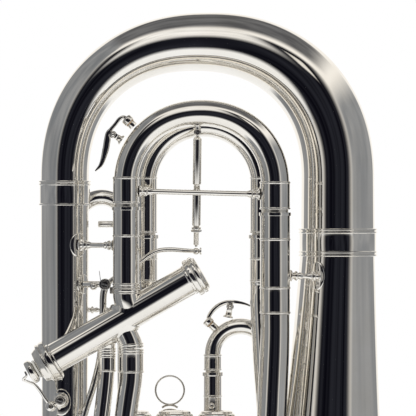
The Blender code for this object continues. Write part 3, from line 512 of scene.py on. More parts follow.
def trigger():
    px, pz = -94.1, 610.7
    bx, bz = -10.9, 641.1
    y = TRIGGER_Y
    pivot = (px, y, pz)
    barrel = lathe([(5.0, 3.2), (5.0, -3.2), (2.6, -3.2), (2.6, 3.2)], pivot, FRONT, 48, ring=True)
    rims = [torus((px, y + s, pz), FRONT, 4.9, 0.5) for s in (-2.7, 2.7)]
    arm = sweep([(px + 3.0, y, pz + 1.2, 2.6), (-86, y, 616.2, 2.3), (-78, y, 621.5, 2.2),
                 (-62.8, y, 631, 2.2),
                 (-54, y, 637.4, 2.2), (-45, y, 641.6, 2.2), (-34, y, 642.6, 2.2), (-22, y, 641.8, 2.1),
                 (bx, y, bz, 1.9)], 24, 6)
    pin_head = [disc((bx, y, bz), (1, 0, 0), 1.6, 3.6, 28),
                disc((bx + 3.3, y, bz), (1, 0, 0), 3.4, 1.6, 36)]
    touch = sweep([(px - 0.2, y, pz - 3.0, 3.2), (-95.7, y, 600, 3.2), (-96.0, y, 585, 3.2),
                   (-96.5, y, 568, 3.2), (-98.5, y, 544, 3.2), (-104, y, 520, 3.2), (-110.5, y, 500, 3.2),
                   (-115.4, y, 482, 3.0), (-116.4, y, 477, 2.2)], 28, 5)
    pad = lathe([(0, 1.5), (4.6, 1.5), (5.8, 0.9), (6.0, 0), (5.2, -1.4), (2.0, -1.7), (0, -1.7)],
                (-116.5, y, 475), (1, 0, 0.12), 48)
    piece("trigger_arm", "trigger_lever", "trigger_lever",
          [barrel, *rims, arm, touch, pad, ball((bx, y, bz), 3.3), *pin_head])

    root_x, root_y = BOW_LEFT_X + 18.2, -13.6
    bar = sweep([(root_x, root_y, pz, 3.0), (-104, y + 8.0, pz, 3.0), (px - 1.0, y + 7.0, pz, 3.0),
                 (px + 2.0, y + 7.2, pz, 3.0)], 28, 4)
    foot = flange((BOW_LEFT_X, BOW_Y), pz, 22.0, (0.80, -0.60), 8.0, 9.0)
    pin = disc((px, y + 6.5, pz), FRONT, 2.1, 11.6)
    head = screw_head((px, y - 3.6, pz), FRONT, 3.9, 1.9)
    coil = []
    for i in range(97):
        a = 2 * math.pi * i / 24
        coil.append((px + 3.7 * math.cos(a), y + 6.2 - 0.7 * i / 24, pz + 3.7 * math.sin(a), 0.32))
    wire = sweep(coil, 8, 1, finish="steel")
    tail = sweep([(px - 3.7, y + 5.2, pz, 0.32), (-98.8, y + 4.0, 618, 0.32),
                  (-99.4, y + 2.5, 623, 0.32)], 8, 4,
                 finish="steel")
    knob = ball((-104.6, y + 4.0, 609.0), 3.6)
    knob_2 = lathe([(0, 3), (3, 3), (3.2, 0), (3, -3), (0, -3)], (px + 7.2, y + 6.4, 605.2), (1, 0, 0),
                   32, finish="screw")
    piece("trigger_post", "root", "trigger_bracket", [bar, foot, pin, head, wire, tail, knob, knob_2])

    top = np.array((-9.5, -42.5, 749.5))
    low = np.array((bx, y, bz + 4.3))
    run = top - low
    length = float(np.linalg.norm(run))
    thread = []
    for i in range(15):
        h = 13.2 - 0.8 * i
        thread += [(2.65, h), (2.3, h - 0.4)]
    profile = [(0, length - 4.2), (2.2, length - 4.2), (3.1, length - 5.2), (3.9, length - 6.4),
               (3.95, 58.0), (3.3, 57.2), (2.9, 56.4), (2.9, 53.4), (3.3, 52.6), (3.95, 51.8),
               (3.95, 20.0), (3.5, 19.2), (2.7, 18.8), (2.7, 18.2), (4.4, 18.0), (4.4, 16.2), (2.7, 16.0),
               (2.7, 13.6), *thread, (1.6, 1.2), (1.2, 0.0), (0, 0)]
    rod = lathe(profile, low, run, 36, edge=0.12)
    nut = lathe([(0, 15.6), (4.6, 15.6), (4.9, 15.2), (4.9, 13.9), (4.6, 13.5), (0, 13.5)], low, run, 6,
                edge=0.1)
    eye = lathe([(3.4, 1.6), (3.4, -1.6), (1.9, -1.6), (1.9, 1.6)], top, (0, 1, 0), 36, ring=True)
    neck = sweep([(*(low + run * (1 - 6.0 / length)), 1.4), (*(low + run * (1 - 2.7 / length)), 1.3)], 20,
                 1)
    piece("trigger_link", "trigger_rod", "trigger_rod", [rod, nut, eye, neck])
    hanger = disc((top[0], top[1] + 3.0, top[2]), FRONT, 1.5, 6.0, 28)
    lug = lathe([(0, 7.5), (3.0, 7.5), (2.4, 5.5), (1.9, 3.0), (2.6, 1.0), (2.6, -2.4), (1.6, -3.2),
                 (0, -3.2)],
                (top[0], FRONT_Y, top[2]), UP, 32)
    head = screw_head((top[0], FRONT_Y - 2.6, top[2]), FRONT, 2.5, 1.2)
    piece("trigger_hanger", "main_slide", "trigger_eye", [hanger, lug, head])


# --- Valve slides --------------------------------------------------------------------------------

SLIDES = {
    "1": {"left": 4.3, "right": 55.8, "crest": 571.4, "base": 545.6, "r": 7.4, "bare": 6.7,
          "y": SLIDE_1_Y, "join": 529.0, "ferrule": 545.8,
          "feet": ([(4.3, 14, 485, 8.1), (4.3, 14, 470, 8.1), (5.6, 10.5, 461, 8.1), (8.0, 6.0, 457, 8.1),
                    (8.0, 1.5, 457, 8.1)],
                   [(55.8, 14, 485, 8.1), (55.8, 14, 440, 8.1), (51.5, 14, 421, 8.1),
                    (42.0, 14, 408.5, 8.1),
                    (31.0, 12.2, 404.3, 8.1), (24.5, 6.0, 404, 8.1), (20.0, 0.0, 404, 8.1)])},
    "2": {"left": -44.7, "right": -25.7, "crest": 489.0, "base": 479.5, "r": 6.8, "bare": 6.1,
          "y": SLIDE_1_Y, "join": 474.0, "ferrule": 480.5,
          "feet": ([(-44.7, 14, 430, 7.2), (-44.7, 14, 420, 7.0), (-43.4, 11.5, 411, 6.6),
                    (-39.5, 4.5, 408, 6.4), (-38.4, 2.0, 408, 6.4)],
                   [(-25.7, 14, 430, 7.2), (-25.7, 14, 398, 7.0), (-25.6, 11.5, 389, 6.6),
                    (-25.6, 4.5, 386, 6.4), (-25.6, 1.0, 386, 6.4)])},
    "3": {"left": -121.0, "right": -76.0, "crest": 690.4, "base": 667.9, "r": 7.4, "bare": 6.7,
          "y": SLIDE_3_Y, "join": 600.0, "ferrule": 622.0,
          "feet": ([(-121, 32, 560, 8.1), (-121, 32, 500, 8.1), (-121, 32, 450, 8.1),
                    (-118, 30.5, 428, 8.1),
                    (-108, 20.5, 402, 8.1), (-96, 3.0, 387, 8.1), (-90.0, -3.3, 385, 8.1),
                    (-86.2, -5.6, 385, 8.1)],
                   [(-76, 32, 560, 8.1), (-76, 32, 500, 8.1), (-76, 32, 446, 8.1), (-75, 28, 428, 8.1),
                    (-71.5, 17, 420, 8.1), (-68.8, 5.0, 420, 8.1), (-68.8, 1.3, 420, 8.1)])},
    "4": {"left": -56.9, "right": 48.9, "crest": 755.6, "base": 702.7, "r": 9.6, "bare": 8.8,
          "y": SLIDE_4_Y, "join": 656.0, "ferrule": 709.2,
          "feet": ([(-56.9, -12.5, 615, 9.8), (-56.9, -12.5, 604.0, 9.8), (-56.9, -14.8, 596.5, 9.8),
                    (-56.9, -21.0, 592.0, 9.8), (-56.9, -25.9, 592.0, 9.8)],
                   [(48.9, -12.5, 615, 10.2), (48.9, -12.5, 590, 10.2), (51.5, -12.5, 540, 10.2),
                    (55, -13, 492, 10.2), (54, -15, 466, 10.2), (47, -16, 446, 10.2),
                    (40, -16, 440, 10.2), (35.4, -16, 440, 10.2)])},
}
INSERTION = 46.0


def valve_slide(name):
    """The shapes of a slide's bow with its bare legs, and of its left and right outer tubes."""
    s = SLIDES[name]
    y, join, r, bare = s["y"], s["join"], s["r"], s["bare"]
    shapes = [sweep(arch(s["left"], s["right"], y, s["base"], s["crest"], (r, r, r), 2.0, 56),
                    44, 1, 0.9)]
    legs = []
    for side, foot in zip(("left", "right"), s["feet"]):
        x = s[side]
        tubes = []
        if s["base"] > s["ferrule"]:
            shapes.append(sweep([(x, y, s["ferrule"] - 1, r), (x, y, s["base"], r)], 44, 1, 0.9))
        shapes.append(band(x, y, join + 1.6, s["ferrule"], r + 0.6, (join + 2.4, s["ferrule"] - 1.1),
                           0.5))
        shapes.append(sweep([(x, y, join - INSERTION, bare), (x, y, join + 4, bare)], 40, 1, 0.8,
                            "satin"))
        outer = r + 0.9
        low = foot[0][2] - 1.0
        tubes.append(band(x, y, min(low, join - INSERTION), join - 0.1, outer,
                          (join - 22.0, join - INSERTION + 4), 0.45))
        tubes.append(band(x, y, join - 3.4, join, outer + 1.3, (), 0.0))
        tubes.append(sweep(foot, 40, 6))
        end, before = np.array(foot[-1][:3]), np.array(foot[-2][:3])
        collar = [(foot[-1][3] - 1, 5), (foot[-1][3] + 1.1, 5), (foot[-1][3] + 1.1, 0),
                  (foot[-1][3] - 1, 0)]
        tubes.append(lathe(collar, end - (end - before) / np.linalg.norm(end - before) * 5.2,
                           end - before, 44,
                           ring=True))
        legs.append(tubes)
    return shapes, legs


def valve_slides():
    """The slides. It returns the shapes of the tubes soldered to a valve, by the valve's number."""
    bows_of, legs_of = zip(*[valve_slide(name) for name in SLIDES])
    bows_of[0].append(lathe([(2.0, 7.0), (3.3, 7.0), (3.9, 5.0), (3.9, 0), (2.0, 0)],
                            (7.2, SLIDE_1_Y, 568.8), (-1, 0, 1), 32, ring=True))
    bows_of[2].append(disc((-82.6, SLIDE_3_Y, 665.5), (-1, 0, 0), 3.2, 19.4, 32, edge=1.0))
    for name, shapes, legs in zip(SLIDES, bows_of, legs_of):
        piece(f"slide_{name}_bow", f"slide_{name}", f"slide_{name}_crook", shapes)
        if name in "23":
            s = SLIDES[name]
            height, reach = s["join"] - 14.0, s["r"] + 0.9
            bridge = stay((s["left"] + reach, s["y"], height), (s["right"] - reach, s["y"], height), 1.5)
            piece(f"slide_{name}_legs", "root", f"slide_{name}_tubes", [*legs[0], *legs[1], bridge])
    piece("slide_4_leg", "root", "slide_4_tube", legs_of[3][1])
    y = SLIDE_1_Y
    centre = (-35.2, y, 512.4)
    feet = sweep([(-42.4, y, 496.4, 1.0), (-39.0, y, 498.2, 1.0), (-35.2, y, 498.8, 1.1),
                  (-31.4, y, 498.2, 1.0), (-28.0, y, 496.4, 1.0)], 20, 5)
    piece("pull_ring", "slide_2", "slide_2_pull_ring",
          [torus(centre, FRONT, 13.2, 0.85, 96, "silver_wire"), feet], "silver_wire")
    return {1: [*legs_of[0][0], *legs_of[0][1], ball((3.4, y - 9.4, 498.5), 3.0)], 4: legs_of[3][0]}


# --- Water keys ----------------------------------------------------------------------------------

def water_key(name, body, carrier, pivot, cork, base, route, thick):
    y = pivot[1]
    pivot, base = np.array(pivot), np.array(base)
    barrel = lathe([(3.4, 3.0), (3.4, -3.0), (2.1, -3.0), (2.1, 3.0)], pivot, FRONT, 36, ring=True)
    lever = strap([(x, y, z) for x, z in route], [4.4, 4.4, 4.0, 4.0, 4.2, 4.6, 5.4, 6.6, 7.2, 5.0],
                  thick)
    start, end = np.array(cork[0]), np.array(cork[1])
    away = end - start
    length = float(np.linalg.norm(away))
    cup = lathe([(0, length + 0.8), (2.0, length + 0.8), (4.4, length), (5.0, length - 1.0), (5.0, 1.6),
                 (4.5, 1.2), (4.5, 0.9), (0, 0.9)], start, away, 40)
    plug = disc(start, away, 4.2, 1.2, 32, finish="cork")
    piece(f"{name}_key", body, f"{name}_lever", [barrel, lever, cup, plug])
    lift = pivot - base
    shapes = [lathe([(0, 3.4), (2.0, 3.4), (3.0, 1.5), (4.4, 0.5), (4.8, -1.0), (0, -1.0)], base, lift,
                    32)]
    for side in (-1, 1):
        offset = np.array((0, side * 4.8, 0))
        shapes.append(strap([base + lift * 0.2, base + lift * 0.45 + offset * 0.8,
                             base + lift * 0.8 + offset,
                             pivot + lift * 0.3 + offset], [6.0, 5.4, 5.2, 4.4], 1.3,
                             np.cross(lift, (0, 1, 0)), 4))
        shapes.append(ball(pivot + offset, 2.7))
    shapes.append(disc((pivot[0], y + 5.9, pivot[2]), FRONT, 1.5, 11.8, 28, finish="steel"))
    shapes += screw_head((pivot[0], y - 5.9, pivot[2]), FRONT, 2.3, 1.1)
    coil = []
    for i in range(49):
        a = 2 * math.pi * i / 24
        coil.append((pivot[0] + 3.0 * math.cos(a), y + 4.2 - 0.4 * i / 24, pivot[2] + 3.0 * math.sin(a),
                     0.3))
    shapes.append(sweep(coil, 8, 1, finish="steel"))
    piece(f"{name}_mount", carrier, f"{name}_saddle", shapes)


def water_keys():
    y = FRONT_Y
    water_key("main_water_key", "main_water_key", "main_slide", (-86.4, y, 747.4),
              ((-70.4, y, 757.6), (-75.0, y, 762.2)), (-79.0, y, 742.7),
              [(-72.8, 761.4), (-76.5, 763.4), (-80.5, 761.5), (-84.5, 756.5), (-88.4, 751.9),
               (-90.9, 748.4), (-91.6, 742), (-93.2, 733), (-97.0, 720.5), (-102.4, 714.2)],
              [2.4, 3.0, 3.4, 3.4, 3.6, 4.6, 6.4, 6.2, 4.0, 1.4])
    y = SLIDE_1_Y
    water_key("first_water_key", "first_water_key", "slide_1", (20.4, y, 589.6),
              ((2.6, y, 573.4), (-1.4, y, 577.4)), (18.6, y, 580.4),
              [(0.6, 575.4), (0.4, 579.2), (3.4, 584.6), (8.6, 589.8), (15.0, 593.0), (21.0, 594.0),
               (27.5, 593.6), (34.5, 592.0), (40.5, 589.4), (45.0, 586.2)],
              [2.6, 3.6, 4.2, 4.2, 4.0, 3.6, 3.2, 2.6, 2.0, 1.2])


# --- Valves --------------------------------------------------------------------------------------

def casing(where, axis, rings=True):
    """The shell of a valve, if wanted with a threaded ring at each end."""
    start = np.array(where, float) - np.array(axis) * CASING_HALF
    top = 2 * CASING_HALF
    ringed = [(14.6, top - 6), (14.0, top - 6.8), (14.0, top - 12), (14.5, top - 12.6), (14.5, top - 14),
              (14.0, top - 14.6), (14.0, 14.6), (14.5, 14), (14.5, 12.6), (14.0, 12), (14.0, 6.8),
              (14.6, 6)]
    plain = [(14.6, top - 2), (14.0, top - 2.6), (14.0, 2.6), (14.6, 2)]
    profile = [(12.4, top), (14.6, top), *(ringed if rings else plain), (14.6, 0), (12.4, 0)]
    return lathe(profile, start, axis, 72, ring=True, edge=0.25)


def bottom_cap(where, axis, radius, knurl):
    low = CASING_HALF + 0.2
    high = low + 12.2
    profile = [(2.4, high - 1.6), (6.0, high - 1.9), (9.6, high - 0.6), (12.5, high),
               (radius - 2.6, high - 0.6),
               (radius - 1.8, high - 2.4), (radius - 0.5, high - 3.2), (radius, high - 4.2),
               (radius, low + 6.2),
               (radius - 0.7, low + 5.6), (radius - 0.7, low + 4.8), (radius, low + 4.2),
               (radius, low + 1.0), (radius - 0.6, low), (2.4, low)]
    return lathe(profile, where, axis, 96, ring=True,
                 flutes=(48, 0.45, low + 0.8, low + 4.4) if knurl else None)


def top_cap(where, axis, radius, knurl):
    high = -CASING_HALF - 0.2
    low = high - 15.0
    profile = [(3.6, high), (radius - 0.5, high), (radius, high - 0.8), (radius, high - 4.6),
               (radius - 0.9, high - 5.2), (radius - 0.9, high - 6.0), (radius - 0.1, high - 6.6),
               (radius - 0.1, high - 8.2), (radius - 2.5, high - 9.6), (radius - 3.9, low + 2.6),
               (radius - 4.5, low + 1.0), (11.6, low), (6.6, low), (5.8, low + 1.4), (3.6, low + 1.4)]
    return lathe(profile, where, axis, 96, ring=True,
                 flutes=(48, 0.45, high - 4.4, high - 1.0) if knurl else None)


def piston(where, axis):
    return lathe([(0, -42), (8.5, -42), (8.5, 35), (11.8, 35), (11.8, -45), (0, -45)], where, axis, 64)


def button(where, axis):
    stem = lathe([(0, -45.3), (4.6, -45.3), (4.6, -48), (3.0, -48.6), (3.0, -91.6), (0, -91.6)], where,
                 axis, 36)
    head = lathe([(0, -90.8), (6.0, -90.8), (9.6, -91.6), (11.0, -93.2), (11.0, -96.0), (10.4, -97.6),
                  (9.2, -98.0), (8.4, -97.6), (0, -97.4)], where, axis, 56)
    inlay = lathe([(0, -97.2), (8.2, -97.2), (8.2, -97.7), (7.0, -98.0), (0, -98.2)], where, axis, 48,
                  finish="pearl")
    felt = lathe([(3.1, -88.6), (8.6, -88.6), (8.6, -90.6), (3.1, -90.6)], where, axis, 40, ring=True,
                 finish="felt")
    return [stem, head, inlay, felt]


def pipe(knots, steps, ends=(True, True)):
    """A port tube with a soldered collar at its ends."""
    rise = 1.0  # of the collar over the tube
    shapes = [sweep(knots, 40, steps)]
    for wanted, (end, before) in zip(ends, ((knots[0], knots[1]), (knots[-1], knots[-2]))):
        if not wanted:
            continue
        away = np.array(before[:3], float) - np.array(end[:3], float)
        r = end[3]
        groove = r + rise * 0.6
        profile = [(r - 1, 4.4), (groove, 4.4), (r + rise, 3.9), (r + rise, 2.9), (groove, 2.4),
                   (r + rise, 1.9), (r + rise, 0.6), (groove, 0.1), (r - 1, 0.1)]
        shapes.append(lathe(profile, end[:3], away, 44, ring=True, edge=0.15))
    return shapes


def fillet(where, axis, height, direction, radius):
    """The soldered saddle where a port tube leaves a casing."""
    along = np.array(axis, float)
    out = np.array(direction, float)
    out = out - along * out.dot(along)
    out /= np.linalg.norm(out)
    side = np.cross(along, out)
    centre = np.array(where, float) + along * height
    rings = []
    for grow, lift in ((3.0, 0.0), (2.6, 0.7), (1.2, 1.2), (0.2, 2.2), (-1.0, 2.2), (-1.0, -1.0)):
        loop = []
        for i in range(44):
            a = 2 * math.pi * i / 44
            u, v = (radius + grow) * math.cos(a), (radius + grow) * math.sin(a)
            v = max(min(v, CASING_R - 0.4), 0.4 - CASING_R)
            depth = math.sqrt(CASING_R**2 - v**2)
            loop.append(centre + along * u + side * v + out * (depth + lift))
        rings.append(loop)
    return skin(rings, closed=True)


def valves(soldered):
    """soldered holds the shapes of the slides' tubes that belong to a casing, by the valve's number."""
    first, second, third = VALVE_XS
    y = VALVE_Y
    ports = {
        1: [((35.0, y, 440), 10.0), ((first, 1.5, 457), 8.0), ((20.0, 0.0, 404), 8.0),
            ((first, -37.0, 372), 7.6), ((second + 14.3, y, 422), 7.6), ((second + 14.3, y, 386), 7.6)],
        2: [((third + 14.3, y, 432), 7.6), ((third + 14.3, y, 396), 7.6)],
        3: [((third, -34.0, 450), 9.6), ((-86.0, y, 425), 7.4), ((third, 0.9, 420), 8.0),
            ((-85.9, -5.8, 385), 8.0)],
    }
    for number, x in enumerate(VALVE_XS, 1):
        where = (x, y, VALVE_Z)
        shapes = [casing(where, UP), *soldered.get(number, [])]
        for end, radius in ports[number]:
            centre = np.array((x, y, end[2]), float)
            out = np.array(end, float) - centre
            out /= np.linalg.norm(out)
            shapes.append(sweep([(*(centre + out * 12.6), radius), (*end, radius)], 40, 1))
            shapes.append(fillet(where, UP, end[2] - VALVE_Z, out, radius))
        piece(f"valve_{number}_barrel", "root", f"valve_{number}_casing", shapes)
    c, s = SIDE_AXIS[0], SIDE_AXIS[2]
    inlet = [(MTS_LEFT_X, FRONT_Y, 607.0, 12.0), (MTS_LEFT_X, FRONT_Y, 601, 12.0),
             (-73.4, -46.2, 596, 12.0), (-71.0, -45.4, 590.0, 11.6), (-68.4, -44.4, 585.0, 10.8)]
    outlet = [(-79.5, SIDE_VALVE_Y, 573.0, 9.6), (-75.6, SIDE_VALVE_Y, 568.4, 10.0),
              (-72.4, SIDE_VALVE_Y, 562.4, 10.4), (-70.2, SIDE_VALVE_Y, 556.6, 10.6),
              (-69.9, SIDE_VALVE_Y, 553.0, 10.6)]
    second_outlet = [(-95.5, -43.6, 567, 7.2), (-93.0, -42.6, 563, 7.4), (-91.6, -41.2, 558, 7.4),
                     (-92.0, -40.2, 553.0, 7.4), (-92.0, -40.0, 549.0, 7.4)]
    back = [(-56.9, -32.0, 592.0, 9.6), (-56.9, -25.9, 592.0, 9.6)]
    shapes = [casing(SIDE_VALVE, SIDE_AXIS, rings=False), *soldered[4], *pipe(inlet, 6, (True, False)),
              *pipe(outlet, 6, (False, True)), *pipe(second_outlet, 6, (False, True)), sweep(back, 40, 1),
              fillet(SIDE_VALVE, SIDE_AXIS, 9.5, (-s, 0.0, c), 11.4),
              fillet(SIDE_VALVE, SIDE_AXIS, -1.5, (s, 0.0, -c), 9.6),
              fillet(SIDE_VALVE, SIDE_AXIS, -19.5, (s, 0.3, -c), 7.2)]
    piece("side_valve_barrel", "root", "valve_4_casing", shapes)
    places = [((x, y, VALVE_Z), UP, -VALVE_TRAVEL) for x in VALVE_XS] + [(SIDE_VALVE, SIDE_AXIS, 0.0)]
    for number, (where, axis, rise) in enumerate(places, 1):
        moved = tuple(np.array(where) + np.array(axis) * rise)
        name = f"valve_{number}"
        side = number == 4
        piece(f"{name}_lower_cap", "root", f"{name}_bottom_cap",
              [bottom_cap(where, axis, 17.9 if side else 17.0, not side)])
        piece(f"{name}_upper_cap", "root", f"{name}_top_cap",
              [top_cap(where, axis, 19.5 if side else 17.5, not side)])
        piece(f"{name}_plunger", name, f"{name}_piston", [piston(moved, axis)], "nickel")
        piece(f"{name}_key_button", name, f"{name}_button", button(moved, axis))
        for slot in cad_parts[f"{name}_spring"].material_slots:
            slot.link = "OBJECT"
            slot.material = FINISH["steel"]
    feed = [(-69.9, SIDE_VALVE_Y, 552.7, 10.6), (-69.9, SIDE_VALVE_Y, 540, 10.6),
            (-70.4, -44.2, 524, 10.6),
            (-73.0, -45.5, 505, 10.4), (-75.5, -48.0, 484, 9.8), (-74.0, -48.5, 468, 9.6),
            (-71.5, -45.5, 457, 9.6),
            (-69.2, -40.0, 450.8, 9.6), (-68.8, -37.5, 450, 9.6), (-68.8, -34.4, 450, 9.6)]
    shapes = pipe(feed, 6)
    shapes.append(band(-69.9, SIDE_VALVE_Y, 530.6, 552.4, 11.3, (531.6, 549.0, 551.4), 0.5))
    piece("side_valve_feed", "root", "valve_4_feed_tube", shapes)
    second = [(-92.0, -40.0, 548.7, 7.4), (-92.1, -40.2, 540, 7.4), (-93.4, -40.8, 520, 7.4),
              (-97.0, -41.5, 489, 7.4),
              (-100.5, -41.5, 462, 7.4), (-101.0, -38.0, 446, 7.4), (-99.5, -27.0, 431, 7.4),
              (-94.0, -18.5, 425.5, 7.4), (-90.0, y, 425, 7.4), (-86.4, y, 425, 7.4)]
    piece("compensating_pipe", "root", "compensating_tube",
          [*pipe(second, 6), band(-92.0, -40.0, 531.6, 548.4, 8.0, (532.4,), 0.5)])


# --- Lock, leadpipe and receiver -----------------------------------------------------------------

def lock():
    x, z = -134.6, 504.9
    front = -22.3
    y = front - 13.9
    post = [(0, 20.3), (3.4, 20.3), (3.7, 19.6), (3.7, 18.9), (2.2, 18.5), (2.2, 9.4), (4.8, 9.0),
            (5.3, 6.0), (5.6, 3.6), (7.4, 2.0), (0, 1.6)]
    foot = flange((BOW_LEFT_X, BOW_Y), z - 2.0, 21.5, (-0.13, -0.99), 9.0, 12.4)
    piece("lock_post", "root", "lock_bracket",
          [lathe(post, (x, front - 0.2, z), FRONT, 40), foot,
           *screw_head((x, front - 20.4, z), FRONT, 3.3, 0.9)])
    barrel = lathe([(2.6, 3.9), (4.6, 3.7), (5.6, 2.4), (6.0, 0), (5.6, -2.4), (4.6, -3.7), (2.6, -3.9)],
                   (x, y, z), FRONT, 48, ring=True)
    tip_at = BUTTON_END - 2.6
    tip = (SIDE_VALVE[0] + tip_at * SIDE_AXIS[0], SIDE_VALVE_Y, SIDE_VALVE[2] + tip_at * SIDE_AXIS[2])
    strip = strap([(x - 4.0, y, z - 1.5), (-143.0, y, 501.5), (-147.5, y - 0.6, 505.5),
                   (-153.0, y - 1.4, 513.8),
                   (-158.5, y - 2.4, 520.0), (-164.0, y - 4.2, 522.4), (-168.0, -42.2, 524.6),
                   (tip[0] + 0.2, tip[1] + 0.5, tip[2] - 0.5), (tip[0] - 1.2, tip[1], tip[2] + 3.4)],
                  [3.8, 3.8, 3.8, 4.0, 4.4, 4.8, 5.2, 5.2, 4.4],
                  [2.6, 3.0, 3.0, 3.0, 3.0, 2.8, 2.6, 2.2, 1.8])
    ring = ball((-143.0, y, 500.0), 5.0, FRONT, hole=2.2)
    piece("lock_hook", "lock_lever", "lock_lever",
          [barrel, strip, ring, ball((-143.0, y, 500.0), 2.5, finish="screw")])


def leadpipe():
    first = VALVE_XS[0]
    route = [(first, -37.3, 372, 7.4), (first, -41.5, 372, 7.4), (12.0, -52, 371, 7.4),
             (30, -67, 365, 7.3),
             (62, -80, 348, 7.1), (100, -86, 320, 6.9), (138, -83, 290, 6.7), (168, -70, 268, 6.5)]
    collar = pipe(route[:2], 1, (True, False))[1:]
    piece("mouth_pipe", "root", "leadpipe", [sweep(route, 40, 8, 0.9), *collar])
    end = np.array(route[-1][:3], float)
    axis = end - np.array(route[-2][:3])
    axis /= np.linalg.norm(axis)
    profile = [(6.2, 40), (9.0, 40), (9.3, 39), (9.3, 36.6), (8.4, 35.6), (8.0, 34), (8.2, 26), (8.9, 25),
               (8.9, 23.4), (8.2, 22.4), (8.0, 12), (8.6, 3), (8.9, 2), (8.9, 0.4), (8.4, 0), (5.2, 0)]
    piece("receiver", "root", "mouthpiece_receiver",
          [lathe(profile, end + axis * 0.3, axis, 56, ring=True)])


# --- Studio --------------------------------------------------------------------------------------

def card(name, centre, size, normal, dark, light, fade, streaks=(1.0, 1.0), drift_scale=3.0):
    """A soft-edged panel that only reflections see. Its tone drifts between dark and light."""
    mesh = bpy.data.meshes.new(name)
    w, h = size[0] / 2, size[1] / 2
    mesh.from_pydata([(-w, -h, 0), (w, -h, 0), (w, h, 0), (-w, h, 0)], [], [(0, 1, 2, 3)])
    obj = put(name, mesh)
    obj.location = centre
    obj.rotation_euler = Vector(normal).to_track_quat("Z", "Y").to_euler()
    made = bpy.data.materials.new(name)
    made.use_nodes = True
    tree = made.node_tree
    tree.nodes.clear()
    where = node_of(tree, "ShaderNodeTexCoord")
    split = node_of(tree, "ShaderNodeSeparateXYZ")
    link(tree, where.outputs["Object"], split.inputs[0])
    cover = None
    for axis, half, soft in (("X", w, fade[0]), ("Y", h, fade[1])):
        size_of = node_of(tree, "ShaderNodeMath", operation="ABSOLUTE")
        link(tree, split.outputs[axis], size_of.inputs[0])
        edge = node_of(tree, "ShaderNodeMapRange", (("From Min", half), ("From Max", half - soft)),
                       interpolation_type="SMOOTHSTEP")
        link(tree, size_of.outputs[0], edge.inputs["Value"])
        if cover is None:
            cover = edge
            continue
        both = node_of(tree, "ShaderNodeMath", operation="MULTIPLY")
        link(tree, cover.outputs["Result"], both.inputs[0])
        link(tree, edge.outputs["Result"], both.inputs[1])
        cover = both
    stretch = node_of(tree, "ShaderNodeMapping", (("Scale", (*streaks, 1.0)),))
    link(tree, where.outputs["Object"], stretch.inputs["Vector"])
    drift = node_of(tree, "ShaderNodeTexNoise", (("Scale", drift_scale), ("Detail", 2.0)))
    link(tree, stretch.outputs["Vector"], drift.inputs["Vector"])
    tone = ramp(tree, drift.outputs["Fac"], 0.38, dark, 0.62, light)
    glow = node_of(tree, "ShaderNodeEmission")
    link(tree, tone, glow.inputs["Color"])
    clear = node_of(tree, "ShaderNodeBsdfTransparent")
    mixed = node_of(tree, "ShaderNodeMixShader")
    link(tree, cover.outputs[0], mixed.inputs[0])
    link(tree, clear.outputs[0], mixed.inputs[1])
    link(tree, glow.outputs[0], mixed.inputs[2])
    out = node_of(tree, "ShaderNodeOutputMaterial")
    link(tree, mixed.outputs[0], out.inputs["Surface"])
    mesh.materials.append(made)
    obj.visible_camera = False
    obj.visible_diffuse = False
    obj.visible_shadow = False


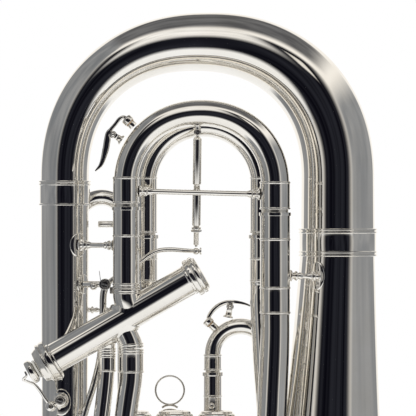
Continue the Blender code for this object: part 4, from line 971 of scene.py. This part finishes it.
def studio():
    bpy.context.scene.view_settings.view_transform = "Standard"
    world = bpy.data.worlds.new("studio")
    bpy.context.scene.world = world
    world.use_nodes = True
    tree = world.node_tree
    sky = tree.nodes["Background"]
    sky.inputs["Color"].default_value = (1.0, 0.965, 0.915, 1.0)
    sky.inputs["Strength"].default_value = 1.0
    plain = node_of(tree, "ShaderNodeBackground", (("Color", (1.0, 1.0, 1.0, 1.0)), ("Strength", 1.0)))
    path = node_of(tree, "ShaderNodeLightPath")
    seen = node_of(tree, "ShaderNodeMixShader")
    link(tree, path.outputs["Is Glossy Ray"], seen.inputs[0])
    link(tree, plain.outputs[0], seen.inputs[1])
    link(tree, sky.outputs[0], seen.inputs[2])
    link(tree, seen.outputs[0], tree.nodes["World Output"].inputs["Surface"])
    card("front_dark", (-0.06, -1.3, 1.15), (3.3, 2.4), FRONT, (0.003, 0.003, 0.006),
         (0.018, 0.019, 0.026), (0.8, 0.42), (3.0, 0.5), 1.2)
    card("front_window", (-0.26, -1.22, 1.88), (1.15, 1.5), FRONT, (0.80, 0.78, 0.75), (1.0, 0.98, 0.95),
         (0.3, 0.35))
    card("small_window", (0.50, -1.22, 1.55), (0.34, 0.42), FRONT, (0.8, 0.77, 0.7), (0.9, 0.86, 0.8),
         (0.1, 0.12))
    card("left_grey", (-0.65, 0.08, 0.86), (1.5, 1.8), (1, 0, 0), (0.20, 0.21, 0.225),
         (0.30, 0.305, 0.315), (0.2, 0.25))
    card("right_grey", (0.59, 0.08, 0.66), (1.5, 1.2), (-1, 0, 0), (0.25, 0.26, 0.275),
         (0.33, 0.335, 0.345), (0.2, 0.25))
    card("top_grey", (-0.03, 0.25, 1.75), (2.4, 2.0), (0, 0, -1), (0.10, 0.10, 0.105),
         (0.17, 0.17, 0.175), (0.5, 0.4))
    mesh = bpy.data.meshes.new("floor")
    count, radius = 96, 3.0
    angles = [2 * math.pi * i / count for i in range(count)]
    mesh.from_pydata([(radius * math.cos(a), radius * math.sin(a), 0) for a in angles], [],
                     [tuple(range(count))])
    floor = put("floor", mesh)
    made = bpy.data.materials.new("floor")
    made.use_nodes = True
    shader = made.node_tree.nodes["Principled BSDF"]
    shader.inputs["Base Color"].default_value = (0.98, 0.98, 0.975, 1.0)
    shader.inputs["Roughness"].default_value = 0.7
    mesh.materials.append(made)
    eye = bpy.data.cameras.new("camera")
    camera = put("camera", eye)
    distance, width = 4.0, 0.3827  # from the origin's plane, and what the frame spans there
    camera.location = (-CENTRE_X * MM, -distance, 0.6806)
    camera.rotation_euler = (math.pi / 2, 0, 0)
    eye.sensor_width = 36.0
    eye.lens = 36.0 * distance / width
    eye.clip_end = 50.0
    bpy.context.scene.camera = camera


bell()
bows()
main_slide()
trigger()
soldered_tubes = valve_slides()
water_keys()
valves(soldered_tubes)
lock()
leadpipe()
studio()
